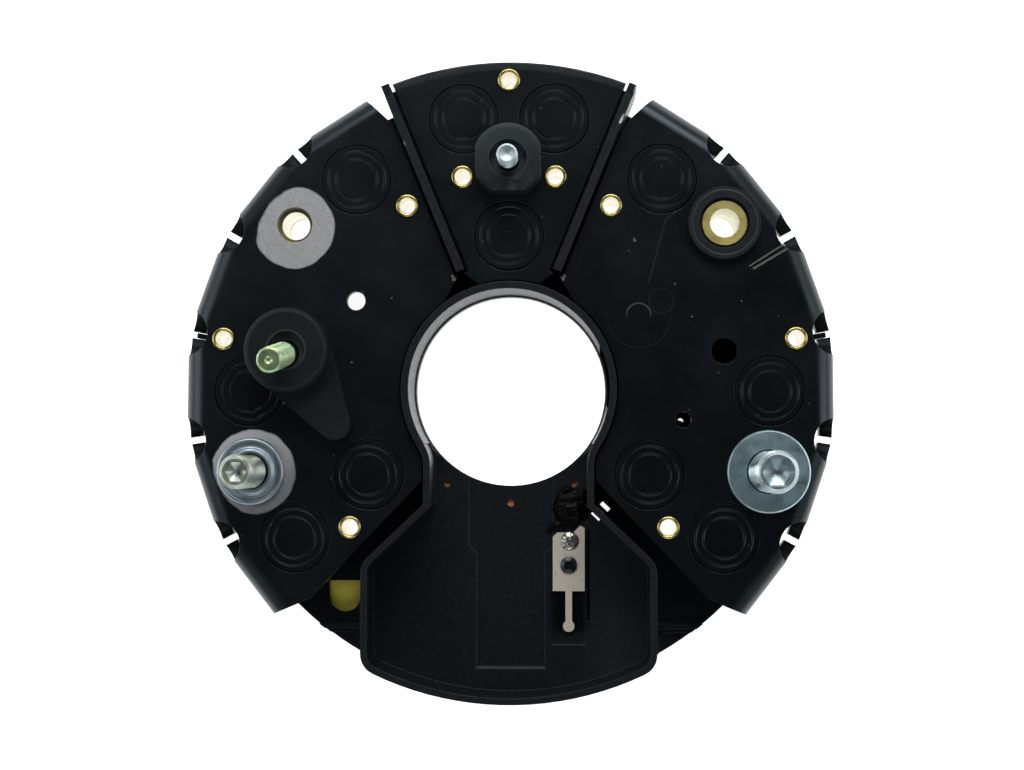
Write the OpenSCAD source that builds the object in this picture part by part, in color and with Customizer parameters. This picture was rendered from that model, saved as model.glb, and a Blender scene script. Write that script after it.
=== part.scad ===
// Alternator rectifier plate with insulated heat sinks, terminal side up.
// The axis of the rotor shaft is Z, and the back face of the carrier lies on Z = 0.

/* [Stack] */
// Thickness of the carrier's base disc
base_t = 4; // [3.6:0.1:6]
// Height of the spacer bosses between base disc and heat sinks
boss_h = 12; // [11:0.5:16]
// Thickness of the heat-sink sheet
sink_t = 3; // [2.6:0.1:4]
// Height of the collar and bay rim above the heat sinks
rim_rise = 1.8; // [0.8:0.1:4]
// Height of the separator ribs above the heat sinks
rib_rise = 2.5; // [0.8:0.1:4]

/* [Carrier] */
// Diameter of the shaft bore
bore_d = 45.7; // [44:0.1:46.2]
// Outer diameter of the collar round the bore
collar_d = 50.7; // [50:0.1:52]
// Inner diameter of the collar at its mouth
collar_mouth_d = 47.2; // [46.8:0.1:49]
// Width of the ledge at the collar's foot
collar_ledge = 0.4; // [0.1:0.05:0.5]
// Gap between the base disc and the skirt of the heat sinks
skirt_gap = 1; // [0.5:0.1:2]
// Distance of the base's edge inward from the wedge's outer edge
wedge_base_inset = 1.2; // [0.2:0.1:2]
// Diameter of the spacer bosses round the rivets
boss_d = 8.5; // [7.5:0.1:9.5]
// Diameter of the bosses round the mounting bushes
mount_boss_d = 14; // [13:0.2:16]
// Width of the lugs that enter the middle slots of the skirts
lug_w = 1.2; // [0.8:0.1:1.4]
// Height of those lugs
lug_h = 9; // [6:0.5:10]

/* [Separator ribs] */
// Angle of each rib from the plate's upright centre line
rib_a = 22.2; // [21.5:0.1:23]
// Thickness of a rib
rib_t = 2; // [1.6:0.1:2.6]
// Radius at which a rib starts
rib_inner_r = 30; // [28:0.5:34]
// Length of a rib beyond the exciter heat sink
rib_overhang = 0.4; // [0.2:0.1:1.5]
// Step by which the outer end of a rib is lower
rib_step = 1.6; // [0.5:0.1:2.4]
// Length of that lower end
rib_step_l = 3.2; // [1:0.1:5]
// Reach of the ledge beside a rib under the wedge
ledge_lap = 0.5; // [0.2:0.1:1.5]
// Depth of that ledge below the wedge
ledge_drop = 0.3; // [0.2:0.1:2]

/* [Bay] */
// Thickness of the bay's floor
bay_floor_t = 3.4; // [3:0.1:3.8]
// Thickness of the bay's walls
bay_wall = 1.6; // [1.2:0.1:2.2]
// Outer width of the neck
neck_w = 40; // [38:0.2:42]
// Distance of the neck's end from the axis
neck_y = 27; // [25:0.5:29]
// Outer width of the bay
bay_w = 69.4; // [66:0.2:71]
// Distance of the shoulders' end from the axis
shoulder_y = 41; // [39:0.5:43]
// Radius of the shoulders and of the lower corners
bay_corner_r = 5; // [3:0.5:7]
// Radius of the hollow fillets between collar and neck
neck_fillet_r = 8; // [5:0.5:10]
// Reach of the bay's lower wall beyond the base disc
bay_lip = 1.3; // [0.6:0.1:2]
// Width of the sunk floor panel near the bore
panel_upper_w = 20.2; // [18:0.2:22]
// Width of the sunk floor panel below its step
panel_lower_w = 16.2; // [12:0.2:17]
// Distance of the panel's step from the axis
panel_step_y = 37.1; // [34:0.1:44]
// Distance of the panel's lower edge from the axis
panel_end_y = 66.6; // [60:0.2:68]
// Depth of the sunk floor panel
panel_depth = 0.5; // [0.2:0.1:0.6]

/* [Base corners] */
// Distance of the curb beside the bay from the plate's cross axis
curb_y = 56; // [53:0.5:58]
// Thickness of that curb
curb_t = 1.1; // [0.8:0.1:1.6]
// Height of that curb
curb_h = 1.6; // [0.8:0.1:3]
// Strip between curb and corner pocket
pocket_gap = 1; // [0.6:0.1:2]
// Depth of the corner pocket
pocket_depth = 1.4; // [0.6:0.1:2]
// Corner radius of the pocket
pocket_r = 3; // [1.5:0.1:4]

/* [Heat sinks] */
// Tilt of each heat sink's own centre line above the plate's cross axis
sink_axis = 10; // [9.5:0.1:10.5]
// Angle between the side edges
sink_span = 113; // [110:0.5:114]
// Angle between the ends of the skirt
skirt_span = 107.4; // [104:0.2:110]
// Place where the side edges turn to the skirt's ends, as a share of the way from collar to skirt
corner_ring = 0.8299; // [0.8199:0.0005:0.8399]
// Distance of the flat skirt faces from the shaft axis
skirt_r = 76.5; // [75.5:0.1:78]
// Outer radius of the bend
bend_r = 5; // [4.4:0.1:6]
// Depth of the skirt below the front face
skirt_depth = 13; // [11.5:0.5:14]
// Angle from one skirt facet to the next
facet_pitch = 19; // [18.5:0.1:19.5]
// Diameter of the relief hole at each slot
relief_d = 10.8; // [8:0.2:12]
// Reach of the relief holes inward from the skirt's faces
relief_reach = 4.1; // [3:0.1:4.7]
// Depth of the relief holes' centre below the front face
relief_drop = 4; // [3:0.1:5]
// Width of the slots in the skirt
slot_w = 1.6; // [1.5:0.1:3]
// Radius on a rib's centre line from which the inner corner beside the rib is cut
inner_cut_r = 30; // [28.5:0.1:32]
// Angle from the heat sink's centre line at which that cut meets the collar
inner_cut_a = 44; // [40:0.5:48]
// Gap between the heat sinks and the carrier's walls
sink_gap = 0.4; // [0.2:0.1:1]
// Gap between the heat sinks and the ribs
rib_gap = 0.7; // [0.4:0.1:1]

/* [Exciter heat sink] */
// Outer radius of the wedge
wedge_r = 77.2; // [76.5:0.1:78]
// Angle from the plate's upright centre line at which the wedge's inner corners are cut at the collar
wedge_cut_a = 15; // [12:0.5:17]

/* [Diodes] */
// Place of the outer diodes, as a share of the way from collar to skirt
diode_ring = 0.7009; // [0.6909:0.0005:0.7109]
// Angles of the outer diodes from the heat sink's centre line
diode_a = [44, -10.4, -44.7];
// Place of the inner diode on the same way
inner_diode_ring = 0.259; // [0.249:0.0005:0.269]
// Angle of the inner diode from the heat sink's centre line
inner_diode_a = -41.3; // [-42:0.1:-40]
// Place of the two outer exciter diodes, as a share of the way from collar to skirt
exciter_ring = 0.7693; // [0.7593:0.0005:0.7793]
// Angle of those two from the plate's upright centre line
exciter_a = 9.5; // [9:0.1:10]
// Distance of the inner exciter diode from the shaft axis
exciter_in_r = 36.1; // [35.6:0.1:36.6]
// Diameter of the diode's flange
flange_d = 16.4; // [15:0.1:17]
// Thickness of the diode's flange
flange_t = 1.5; // [1:0.1:2]
// Diameter of the diode's pressed body
can_d = 12.8; // [12:0.1:13.2]
// Height of the diode's body below the flange
can_h = 6.5; // [5:0.1:8]
// Diameter of the diode's seal
seal_d = 6.4; // [5:0.1:8]
// Height of the diode's seal
seal_h = 1.6; // [1:0.1:2.4]
// Diameter of the diode's lead
lead_d = 1.6; // [1.2:0.1:2]
// Edge chamfer of the diode's flange and body
diode_edge = 0.3; // [0.1:0.1:0.5]
// Diameters of the two ring grooves in the diode's face
groove_d = [13.3, 9.7];
// Half width of a ring groove
groove_w = 0.35; // [0.2:0.05:0.5]
// Depth of a ring groove
groove_h = 0.25; // [0.1:0.05:0.4]

/* [Rivets] */
// Outer diameter of the rivet tube
rivet_d = 4.4; // [4.2:0.1:4.8]
// Bore of the rivet tube
rivet_bore_d = 3.8; // [3.4:0.1:3.9]
// Diameter of the rivet's flanges
rivet_head_d = 5.4; // [5.1:0.1:5.6]
// Thickness of the rivet's flanges
rivet_head_t = 0.5; // [0.3:0.05:0.6]
// Depth of the rivet seats in the carrier's back
rivet_seat = 0.9; // [0.7:0.1:1.2]
// Place of the paired rivets on a heat sink, as a share of the way from collar to skirt
rivet_pair_ring = 0.4721; // [0.4621:0.0005:0.4821]
// Angle of those from the heat sink's centre line
rivet_pair_a = 51; // [50.5:0.1:51.5]
// Place of the rivet on a heat sink's centre line on the same way
rivet_out_ring = 0.8416; // [0.8316:0.0005:0.8516]
// Radius of the rivet at the wedge's outer edge
wedge_rivet_r = 73; // [72.8:0.1:73.6]
// Distance of the paired rivets' heads on the wedge from the insulating block
wedge_pair_gap = 0.6; // [0.2:0.1:1.5]
// Distance of those rivets from the exciter stud towards the shaft axis
wedge_pair_drop = 3.3; // [2.5:0.1:4]

/* [Mounting holes] */
// Place of mounting holes and main studs, as a share of the way from collar to skirt
mount_ring = 0.7517; // [0.7417:0.0005:0.7617]
// Angle of the mounting holes from the heat sink's centre line
mount_a = 27.5; // [27:0.1:28]
// Outer diameter of the brass bushes
bush_d = 10.5; // [9.5:0.1:10.6]
// Bore of the bush on the negative side
negative_bush_bore = 6.6; // [6:0.1:7.5]
// Bore of the bush on the positive side
positive_bush_bore = 6.8; // [6:0.1:7.5]
// Hole in the negative heat sink over its bush
negative_mount_d = 8.3; // [7:0.1:9]
// Height of the positive bush above the heat sink
bush_rise = 1.5; // [0.8:0.1:2]
// Outer diameter of the insulator's ring
ring_d = 17; // [15:0.1:18]
// Height of the insulator's ring
ring_h = 2.4; // [1.6:0.1:3]
// Diameter of the recess in the ring
ring_recess_d = 11.8; // [11.2:0.1:14]
// Depth of the recess in the ring
ring_recess_h = 1.4; // [0.8:0.1:1.8]
// Outer diameter of the insulator's sleeve in the heat sink
sleeve_d = 13; // [12:0.1:13.6]

/* [Main studs] */
// Angle of the main studs from the heat sink's centre line
stud_a = -27.7; // [-28.2:0.1:-27.2]
// Height of the main studs above their washers
stud_h = 22.5; // [15:0.5:30]
// Diameter of the stud heads behind the heat sinks
stud_head_d = 14; // [12.5:0.1:15]
// Thickness of the stud heads
stud_head_t = 3.5; // [2:0.1:5]
// Step from the studs' threads down to their plain necks
stud_neck = 0.3; // [0.2:0.05:0.5]
// Height at which the threads start above washer or block
thread_start = 0.3; // [0.1:0.1:1]
// Chamfer of the main studs' tips
stud_chamfer = 1; // [0.4:0.1:1.4]
// Chamfer of the smaller studs' tips
small_chamfer = 0.5; // [0.2:0.1:0.8]
// Depth of the hexagon sockets in the tips
socket_h = 4; // [2:0.5:8]
// Diameter of the negative stud
b_minus_d = 7.9; // [7:0.1:8.2]
// Hexagon socket of the negative stud, across flats
b_minus_socket = 4; // [3:0.5:5]
// Diameter of the negative stud's washer
b_minus_washer_d = 16; // [14:0.1:18]
// Thickness of the negative stud's washer
b_minus_washer_t = 1.6; // [1:0.1:2]
// Diameter of the positive stud
b_plus_d = 9.8; // [9:0.1:10.2]
// Hexagon socket of the positive stud, across flats
b_plus_socket = 6; // [4:0.5:6.5]
// Diameter of the positive stud's washer
b_plus_washer_d = 19.4; // [17:0.1:20]
// Thickness of the positive stud's washer
b_plus_washer_t = 1.8; // [1:0.1:2.5]
// Edge chamfer of the washers
washer_chamfer = 0.3; // [0.1:0.1:0.5]

/* [Exciter terminal] */
// Place of the exciter stud, as a share of the way from collar to skirt
d_stud_ring = 0.5485; // [0.5385:0.0005:0.5585]
// Diameter of the exciter stud
d_stud_d = 4.9; // [4:0.1:5.5]
// Height of the exciter stud above its block
d_stud_h = 7.4; // [5:0.1:12]
// Diameter of the exciter stud's head under the wedge
d_head_d = 9; // [8:0.1:10]
// Thickness of that head
d_head_t = 2.5; // [1.5:0.1:4]
// Diameter of the insulating block
block_d = 16.8; // [16:0.1:17]
// Width of the insulating block over its flats
block_w = 15.3; // [14:0.1:15.6]
// Distance of the insulating block's lower flat from the exciter stud
block_low = 7.6; // [7:0.1:8]
// Height of the insulating block
block_h = 8; // [6:0.1:10]
// Edge radius of the insulating block
block_edge_r = 1.2; // [0.5:0.1:2]
// Diameter of the recess round the exciter stud
block_recess_d = 8.8; // [8:0.1:10]
// Depth of the recess round the exciter stud
block_recess_h = 3; // [1:0.1:4]

/* [Phase terminal] */
// Place of the boot, as a share of the way from collar to skirt
boot_ring = 0.523; // [0.513:0.0005:0.533]
// Angle of the boot from the negative heat sink's centre line
boot_a = -0.3; // [-0.8:0.1:0.2]
// Diameter of the boot's disc
boot_d = 19.7; // [18:0.1:20.4]
// Height of the boot's disc
boot_h = 10; // [8:0.1:12]
// Place of the tail's end on the same way
tail_ring = 0.3165; // [0.3065:0.0005:0.3265]
// Angle of the tail's end from the negative heat sink's centre line
tail_a = -21.5; // [-22:0.1:-21]
// Radius of the tail's end
tail_end_r = 3.8; // [3:0.1:4]
// Height of the tail's slope at the disc's centre
tail_root_h = 6; // [5:0.1:9]
// Height of the tail's end
tail_end_h = 4.2; // [3.6:0.1:5]
// Diameter of the recess round the phase stud
boot_recess_d = 8.6; // [8:0.1:10]
// Depth of the recess round the phase stud
boot_recess_h = 2.5; // [1:0.1:4]
// Diameter of the phase stud
w_stud_d = 5.9; // [5:0.1:6.2]
// Length of the phase stud from its link
w_stud_l = 27; // [22:0.5:32]
// Lean of the phase stud
w_lean = 7.5; // [0:0.1:8.5]
// Direction of that lean
w_lean_dir = -113; // [-120:1:-100]
// Thickness of the link under the phase stud
link_t = 1.4; // [1:0.1:1.8]
// Width of the link
link_w = 4; // [3:0.1:4.4]
// Height of the link above the heat sink
link_z = 1.2; // [1:0.1:1.5]
// Diameter of the link's pin
link_pin_d = 2.2; // [1.8:0.1:2.4]
// Outer diameter of the boot's sleeve through the heat sink
boot_sleeve_d = 4.8; // [4:0.1:5]

/* [Small holes] */
// Place of the light hole in each heat sink, as a share of the way from collar to skirt
light_hole_ring = 0.3177; // [0.3077:0.0005:0.3277]
// Angle of the light holes from the heat sinks' centre lines
light_hole_a = 20; // [19.5:0.1:20.5]
// Diameter of the negative light hole
negative_light_d = 4.4; // [3.5:0.1:5]
// Diameter of the carrier's hole behind the negative light hole
light_window_d = 5.6; // [4.6:0.1:6.5]
// Distance of that hole outward from the light hole
light_window_shift = 2.2; // [0:0.1:3]
// Diameter of the positive light hole
positive_light_d = 3.7; // [3:0.1:4.5]
// Diameter of the carrier's hole under the positive light hole
pin_hole_d = 1.4; // [1:0.1:2]
// Place of the spare hole on the positive centre line, on the same way
spare_hole_ring = 0.5073; // [0.4973:0.0005:0.5173]
// Diameter of the spare hole
spare_hole_d = 6.1; // [5:0.1:7]
// Length of the drain slits on both sides of the bay's shoulder
slit_l = 2.6; // [2:0.1:4]
// Distance of the drain slits from the neck
slit_start = 1.3; // [0.5:0.1:3]
// Width of the drain slit outside the bay
slit_w = 1; // [0.5:0.1:1.2]
// Width of the drain slit inside the bay
inner_slit_w = 0.6; // [0.4:0.1:1]
// Distance of the outer slit from the bay's wall
slit_gap = 0.8; // [0.4:0.1:1.2]

/* [Bay contact] */
// Distance of the contact strip's centre line from the bay's centre line
strip_x = 14; // [13.8:0.1:14.4]
// Width of the contact strip
strip_w = 7.7; // [7:0.1:7.8]
// Distance of the strip's upper edge from the axis
strip_top_y = 33; // [32.5:0.1:34]
// Distance of the strip's lower edge from the axis
strip_low_y = 48.2; // [46:0.1:50]
// Depth of the tears in the strip's upper edge
tear = 1.1; // [0.5:0.1:1.4]
// Thickness of the contact strip
strip_t = 0.5; // [0.3:0.1:0.8]
// Width of the strip's tongue
tongue_w = 1.6; // [1.2:0.1:2.5]
// Distance of the tongue's end from the axis
tongue_end_y = 58; // [55:0.1:60]
// Width of the tongue's head
tongue_head_w = 2.8; // [2.6:0.1:4]
// Distance of the contact rivet from the axis
contact_rivet_y = 41.9; // [40:0.1:44]
// Diameter of the contact rivet's head
contact_rivet_d = 4; // [2.5:0.1:4.5]
// Height of the contact rivet's head
contact_rivet_h = 0.9; // [0.6:0.1:1.5]
// Diameter of the contact rivet's shank
contact_shank_d = 2; // [1.5:0.1:2.4]
// Width of the pocket under the tongue
tongue_pocket_w = 8.2; // [6:0.1:8.5]
// Distance of that pocket's end from the axis
tongue_pocket_y = 61.1; // [60.2:0.1:63]
// Depth of that pocket
tongue_pocket_h = 0.4; // [0.2:0.1:0.6]
// Length of the groove beside the strip
groove_l = 17.2; // [10:0.1:20]
// Gap between the strip and that groove
groove_gap = 0.7; // [0.3:0.1:1]
// Width of the groove beside the strip
side_groove_w = 0.7; // [0.4:0.1:1]
// Radius of the larger resin drop
resin_r = 4; // [3:0.1:4.2]
// Height of the larger resin drop
resin_h = 2.2; // [1.5:0.1:3]
// Size of the smaller resin drop against the larger one
resin_ratio = 0.7; // [0.5:0.05:0.8]

/* [Conductors] */
// Depth of the conductor channels in the carrier's back
channel_h = 2.2; // [2:0.1:2.4]
// Thickness of the conductor bars
bar_t = 1.4; // [1:0.1:1.6]
// Width of the conductor bars
bar_w = 2.4; // [2:0.1:2.5]
// Radius of the pads round the diode leads
pad_r = 1.7; // [1.5:0.05:1.75]
// Place of the first phase bar, as a share of the way from collar to skirt
u_ring = 0.8397; // [0.8297:0.0005:0.8497]
// Place of the second phase bar on the same way
v_ring = 0.6051; // [0.5951:0.0005:0.6151]
// Radius of the star bar under the bay
star_r = 27; // [26.5:0.1:28]
// Angle of the star bar's ends from the cross axis
star_a = 45; // [40:1:50]
// Diameter of the sight holes over the star bar
sight_d = 1.7; // [1.2:0.1:2]
// Angle between the sight holes
sight_a = 34.4; // [30:0.2:38]
// Width of the window over the phase terminal
window_w = 7.5; // [6.5:0.1:8]
// Distance of the window's centre line from the bay's centre line
window_x = 40; // [39.6:0.1:41]
// Distance of the window's straight edge from the axis
window_top_y = 45.7; // [45:0.1:47]
// Length of the window
window_l = 7.5; // [7:0.1:8]
// Margin of the phase terminal round the window
terminal_margin = 0.5; // [0.3:0.1:0.6]

/* [Fits] */
// Clearance between parts that slide or press together, per side
fit = 0.05; // [0.02:0.01:0.1]
// Clearance of a lead, pin or bar in the carrier, per side
loose = 0.1; // [0.05:0.01:0.15]
// Clearance of studs and sleeves in their holes, per side
stud_play = 0.15; // [0.05:0.01:0.25]

/* [Hidden] */
$fn = 96;
// Reach of a cutter beyond the face that it opens
over = 1;
// Small shift by which lines and arcs that would just touch cross each other
ease = 0.02;
// Corners of the polygon that limits a bar along a circle
fan_steps = 12;
hex_sides = 6;
// Facets of a heat sink's skirt
facets = 6;
// A length beyond everything on the plate
far = 120;
sink_z = base_t + boss_h;
front_z = sink_z + sink_t;
skirt_z = front_z - skirt_depth;
rim_z = front_z + rim_rise;
rib_z = front_z + rib_rise;
bore_r = bore_d / 2;
collar_r = collar_d / 2;
mouth_r = collar_mouth_d / 2;
base_r = skirt_r - sink_t - skirt_gap;
corner_r = ring(corner_ring);
relief_in_r = skirt_r - relief_reach;
diode_r = ring(diode_ring);
inner_diode_r = ring(inner_diode_ring);
rivet_pair_r = ring(rivet_pair_ring);
rivet_out_r = ring(rivet_out_ring);
mount_r = ring(mount_ring);
boot_r = ring(boot_ring);
tail_r = ring(tail_ring);
light_hole_r = ring(light_hole_ring);
spare_hole_r = ring(spare_hole_ring);
exciter_r = ring(exciter_ring);
d_stud_y = ring(d_stud_ring);
wedge_pair_x = block_w / 2 + wedge_pair_gap + rivet_head_d / 2;
wedge_pair_y = d_stud_y - wedge_pair_drop;
u_r = ring(u_ring);
v_r = ring(v_ring);
bay_r = base_r + bay_lip;
rib_outer_r = wedge_r + rib_overhang;
bar_z = channel_h - bar_t;
// Leads and pins end just below the bars that they are soldered to
lead_z = bar_z / 2;
upright = 90;
black_paint = [0.08, 0.09, 0.10];
black_plastic = [0.12, 0.12, 0.13];
dark_rubber = [0.18, 0.18, 0.19];
zinc = [0.72, 0.74, 0.76];
yellow_zinc = [0.72, 0.78, 0.62];
brass = [0.72, 0.62, 0.34];
copper = [0.66, 0.40, 0.28];
tin = [0.75, 0.73, 0.68];
tar = [0.03, 0.03, 0.03];

// Places on the plate, seen from the terminal side

function ring(share) = collar_r + share * (skirt_r - collar_r);
function polar(r, a) = [r * cos(a), r * sin(a)];
function mirrored(p) = [-p[0], p[1]];
function beyond(p, q) = p + far / norm(q - p) * (q - p);
function stud_hole(d) = d + 2 * stud_play;

// The positive heat sink is on the right; the negative one is its mirror image
diode_spots = concat(
    [for (a = diode_a) polar(diode_r, sink_axis + a)],
    [polar(inner_diode_r, sink_axis + inner_diode_a)]
);
exciter_spots = [
    polar(exciter_r, upright + exciter_a),
    polar(exciter_r, upright - exciter_a),
    [0, exciter_in_r]
];
sink_rivets = [
    polar(rivet_pair_r, sink_axis + rivet_pair_a),
    polar(rivet_out_r, sink_axis),
    polar(rivet_pair_r, sink_axis - rivet_pair_a)
];
wedge_rivets = [
    [0, wedge_rivet_r],
    [-wedge_pair_x, wedge_pair_y],
    [wedge_pair_x, wedge_pair_y]
];
all_rivets = concat(sink_rivets, [for (p = sink_rivets) mirrored(p)], wedge_rivets);
all_leads = concat(diode_spots, [for (p = diode_spots) mirrored(p)], exciter_spots);
mount_spot = polar(mount_r, sink_axis + mount_a);
stud_spot = polar(mount_r, sink_axis + stud_a);
boot_spot = mirrored(polar(boot_r, sink_axis + boot_a));
tail_spot = mirrored(polar(tail_r, sink_axis + tail_a));
negative_light = mirrored(polar(light_hole_r, sink_axis + light_hole_a));
light_window = mirrored(polar(light_hole_r + light_window_shift, sink_axis + light_hole_a));
positive_light = polar(light_hole_r, sink_axis - light_hole_a);
spare_hole = polar(spare_hole_r, sink_axis);
d_stud_spot = [0, d_stud_y];

module at(spots) {
    for (p = spots) translate([p[0], p[1], 0]) children();
}

module both_sides() {
    children();
    mirror([1, 0, 0]) children();
}

// A hole from below the plate to above it
module drill(d) {
    translate([0, 0, -far]) cylinder(d = d, h = 2 * far);
}

// Plan outlines of the carrier, grown by g

neck_hw = neck_w / 2;
bay_hw = bay_w / 2;
shoulder_a = atan2(shoulder_y - neck_y, bay_hw - neck_hw);
shoulder_mitre = cos(shoulder_a) / (1 + sin(shoulder_a));
fillet_x = neck_hw + neck_fillet_r;
fillet_y = -sqrt(pow(collar_r + neck_fillet_r, 2) - pow(fillet_x, 2));

function bay_half(g) = [
    [neck_hw + g, 0],
    [neck_hw + g, -neck_y + shoulder_mitre * g],
    [bay_hw + g, -shoulder_y + shoulder_mitre * g],
    [bay_hw + g, -far]
];

// What a round corner takes away, between the directions a0 and a1 from the corner's centre
module corner_cut(centre, a0, a1, r) {
    translate(centre) difference() {
        polygon([[0, 0], polar(far, a0), polar(far, (a0 + a1) / 2), polar(far, a1)]);
        circle(r - ease);
    }
}

module bay_outline(g) {
    right = bay_half(g);
    last = len(right) - 1;
    left = [for (i = [last:-1:0]) mirrored(right[i])];
    corner_x = bay_hw - bay_corner_r;
    low_a = acos(corner_x / (bay_r - bay_corner_r));
    difference() {
        intersection() {
            polygon(concat(right, left));
            circle(bay_r + g);
        }
        both_sides() {
            corner_cut(polar(bay_r - bay_corner_r, -low_a), -low_a, 0, bay_corner_r + g);
            corner_cut([corner_x, -shoulder_y - shoulder_mitre * bay_corner_r], 0, upright - shoulder_a,
                bay_corner_r + g);
        }
    }
}

module neck_fillets(g) {
    both_sides() difference() {
        polygon([[0, 0], [fillet_x, fillet_y], [neck_hw + g, fillet_y]]);
        translate([fillet_x, fillet_y]) circle(neck_fillet_r - g);
    }
}

module wall_outline(g) {
    circle(collar_r + g);
    bay_outline(g);
    neck_fillets(g);
}

module rib_outline(g) {
    both_sides() rotate(-rib_a) translate([-rib_t / 2 - g, rib_inner_r - g])
        square([rib_t + 2 * g, rib_outer_r - rib_inner_r + 2 * g]);
}

// Plan outlines of the conductors, grown by g

module arc_bar(r, a0, a1, w) {
    fan = [for (i = [0:fan_steps]) polar(far, a0 + (a1 - a0) * i / fan_steps)];
    intersection() {
        difference() {
            circle(r + w / 2);
            circle(r - w / 2);
        }
        polygon(concat([[0, 0]], fan));
    }
}

module straight_bar(p, q, w) {
    d = q - p;
    translate(p) rotate(atan2(d[1], d[0])) translate([0, -w / 2]) square([norm(d), w]);
}

module pads(spots, g) {
    at(spots) circle(pad_r + g);
}

// A bar along a circle, with a square turn to each of two mirrored diodes
module phase_arc(r, spot, g) {
    w = bar_w + 2 * g;
    a = atan2(spot[1], spot[0]);
    outer_side = r > norm(spot) ? 1 : -1;
    arc_bar(r, a, 2 * upright - a, w);
    for (p = [spot, mirrored(spot)])
        straight_bar(polar(r + outer_side * w / 2, atan2(p[1], p[0])), p, w);
    pads([spot, mirrored(spot)], g);
}

// A short bar from a phase arc to an exciter diode
module exciter_branch(r, spot, g) {
    a = atan2(spot[1], spot[0]);
    straight_bar(polar(r, a), spot, bar_w + 2 * g);
    pads([spot], g);
}

module phase_u_outline(g) {
    phase_arc(u_r, diode_spots[0], g);
    exciter_branch(u_r, exciter_spots[0], g);
}

module phase_v_outline(g) {
    phase_arc(v_r, diode_spots[1], g);
    exciter_branch(v_r, exciter_spots[1], g);
}

module window_outline(g) {
    round_y = -window_top_y - window_l + window_w / 2;
    translate([-window_x, 0]) {
        translate([-window_w / 2 - g, round_y])
            square([window_w + 2 * g, -window_top_y - round_y + g]);
        translate([0, round_y]) circle(window_w / 2 + g);
    }
}

module phase_w_outline(g) {
    w = bar_w + 2 * g;
    a = atan2(tail_spot[1], -tail_spot[0]);
    turn = polar(exciter_in_r, a);
    arc_bar(exciter_in_r, a, 2 * upright - a, w);
    both_sides() {
        straight_bar(turn, mirrored(tail_spot), w);
        straight_bar(mirrored(tail_spot), diode_spots[2], w);
        at([turn, mirrored(tail_spot)]) circle(bar_w / 2 + g);
    }
    straight_bar(mirrored(diode_spots[2]), [-window_x, -window_top_y - window_w / 2], w);
    window_outline(terminal_margin + g);
    pads([diode_spots[2], mirrored(diode_spots[2]), exciter_spots[2], tail_spot], g);
}

module star_outline(g) {
    w = bar_w + 2 * g;
    turn = polar(star_r, -star_a);
    arc_bar(star_r, star_a - 2 * upright, -star_a, w);
    both_sides() {
        straight_bar(turn, diode_spots[3], w);
        at([turn]) circle(bar_w / 2 + g);
    }
    pads([diode_spots[3], mirrored(diode_spots[3])], g);
}

// The moulded carrier

module rib_solids() {
    difference() {
        linear_extrude(rib_z) rib_outline(0);
        both_sides() rotate(-rib_a)
            translate([-rib_t, rib_outer_r - rib_step_l, rib_z - rib_step])
            cube([2 * rib_t, rib_step_l + over, rib_step + over]);
    }
}

// A ledge beside each rib, under the wedge's edge
module rib_ledges() {
    reach = rib_t / 2 + rib_gap + ledge_lap;
    intersection() {
        both_sides() rotate(-rib_a) translate([-reach, inner_cut_r, 0])
            cube([reach, rib_outer_r - inner_cut_r, sink_z - ledge_drop]);
        cylinder(r = wedge_r - wedge_base_inset, h = far);
    }
}

module lug_solids() {
    both_sides() rotate(sink_axis) translate([rivet_out_r, -lug_w / 2, 0])
        cube([skirt_r - rivet_out_r, lug_w, lug_h]);
}

// Straps of the base under the bosses, which show where a boss stands beyond the disc
module boss_straps() {
    linear_extrude(base_t) for (p = all_rivets) straight_bar([0, 0], p, boss_d - 2 * over);
}

// The base reaches further out between the ribs, under the wedge
module wedge_base() {
    linear_extrude(base_t) intersection() {
        circle(wedge_r - wedge_base_inset);
        polygon([[0, 0], polar(far, upright - rib_a), polar(far, upright + rib_a)]);
    }
}

module curb_solids() {
    intersection() {
        translate([-far, -curb_y - curb_t, 0]) cube([2 * far, curb_t, base_t + curb_h]);
        cylinder(r = base_r, h = far);
    }
}

module corner_pockets() {
    pocket_x = bay_hw + pocket_gap;
    pocket_y = -curb_y - curb_t - pocket_gap;
    translate([0, 0, base_t - pocket_depth]) both_sides() linear_extrude(pocket_depth + over)
        translate([pocket_x, pocket_y]) {
            translate([pocket_r, -far]) square([far, far]);
            translate([0, -far]) square([far, far - pocket_r]);
            translate([pocket_r, -pocket_r]) circle(pocket_r);
        }
}

module panel_outline() {
    upper = panel_upper_w / 2;
    lower = panel_lower_w / 2;
    polygon([
        [-upper, 0], [upper, 0], [upper, -panel_step_y], [lower, -panel_step_y - upper + lower],
        [lower, -panel_end_y], [-lower, -panel_end_y],
        [-lower, -panel_step_y - upper + lower], [-upper, -panel_step_y]
    ]);
}

module bay_space() {
    translate([0, 0, bay_floor_t]) {
        linear_extrude(far) bay_outline(-bay_wall);
        linear_extrude(far) neck_fillets(-bay_wall);
    }
    translate([0, 0, bay_floor_t - panel_depth]) linear_extrude(far) panel_outline();
    translate([strip_x - tongue_pocket_w / 2, -tongue_pocket_y, bay_floor_t - tongue_pocket_h])
        cube([tongue_pocket_w, tongue_pocket_y - strip_low_y, far]);
    groove_x = strip_x + strip_w / 2 + groove_gap;
    translate([groove_x, -contact_rivet_y - groove_l + strip_w / 2, bay_floor_t - panel_depth])
        cube([side_groove_w, groove_l, far]);
}

module collar_space() {
    drill(bore_d);
    translate([0, 0, bay_floor_t])
        cylinder(h = rim_z - bay_floor_t, r1 = bore_r + collar_ledge, r2 = mouth_r);
    translate([0, 0, rim_z]) cylinder(h = over, r = mouth_r);
}

module channels() {
    translate([0, 0, -over]) linear_extrude(channel_h + over) {
        phase_u_outline(loose);
        phase_v_outline(loose);
        phase_w_outline(loose);
        star_outline(loose);
    }
}

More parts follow.
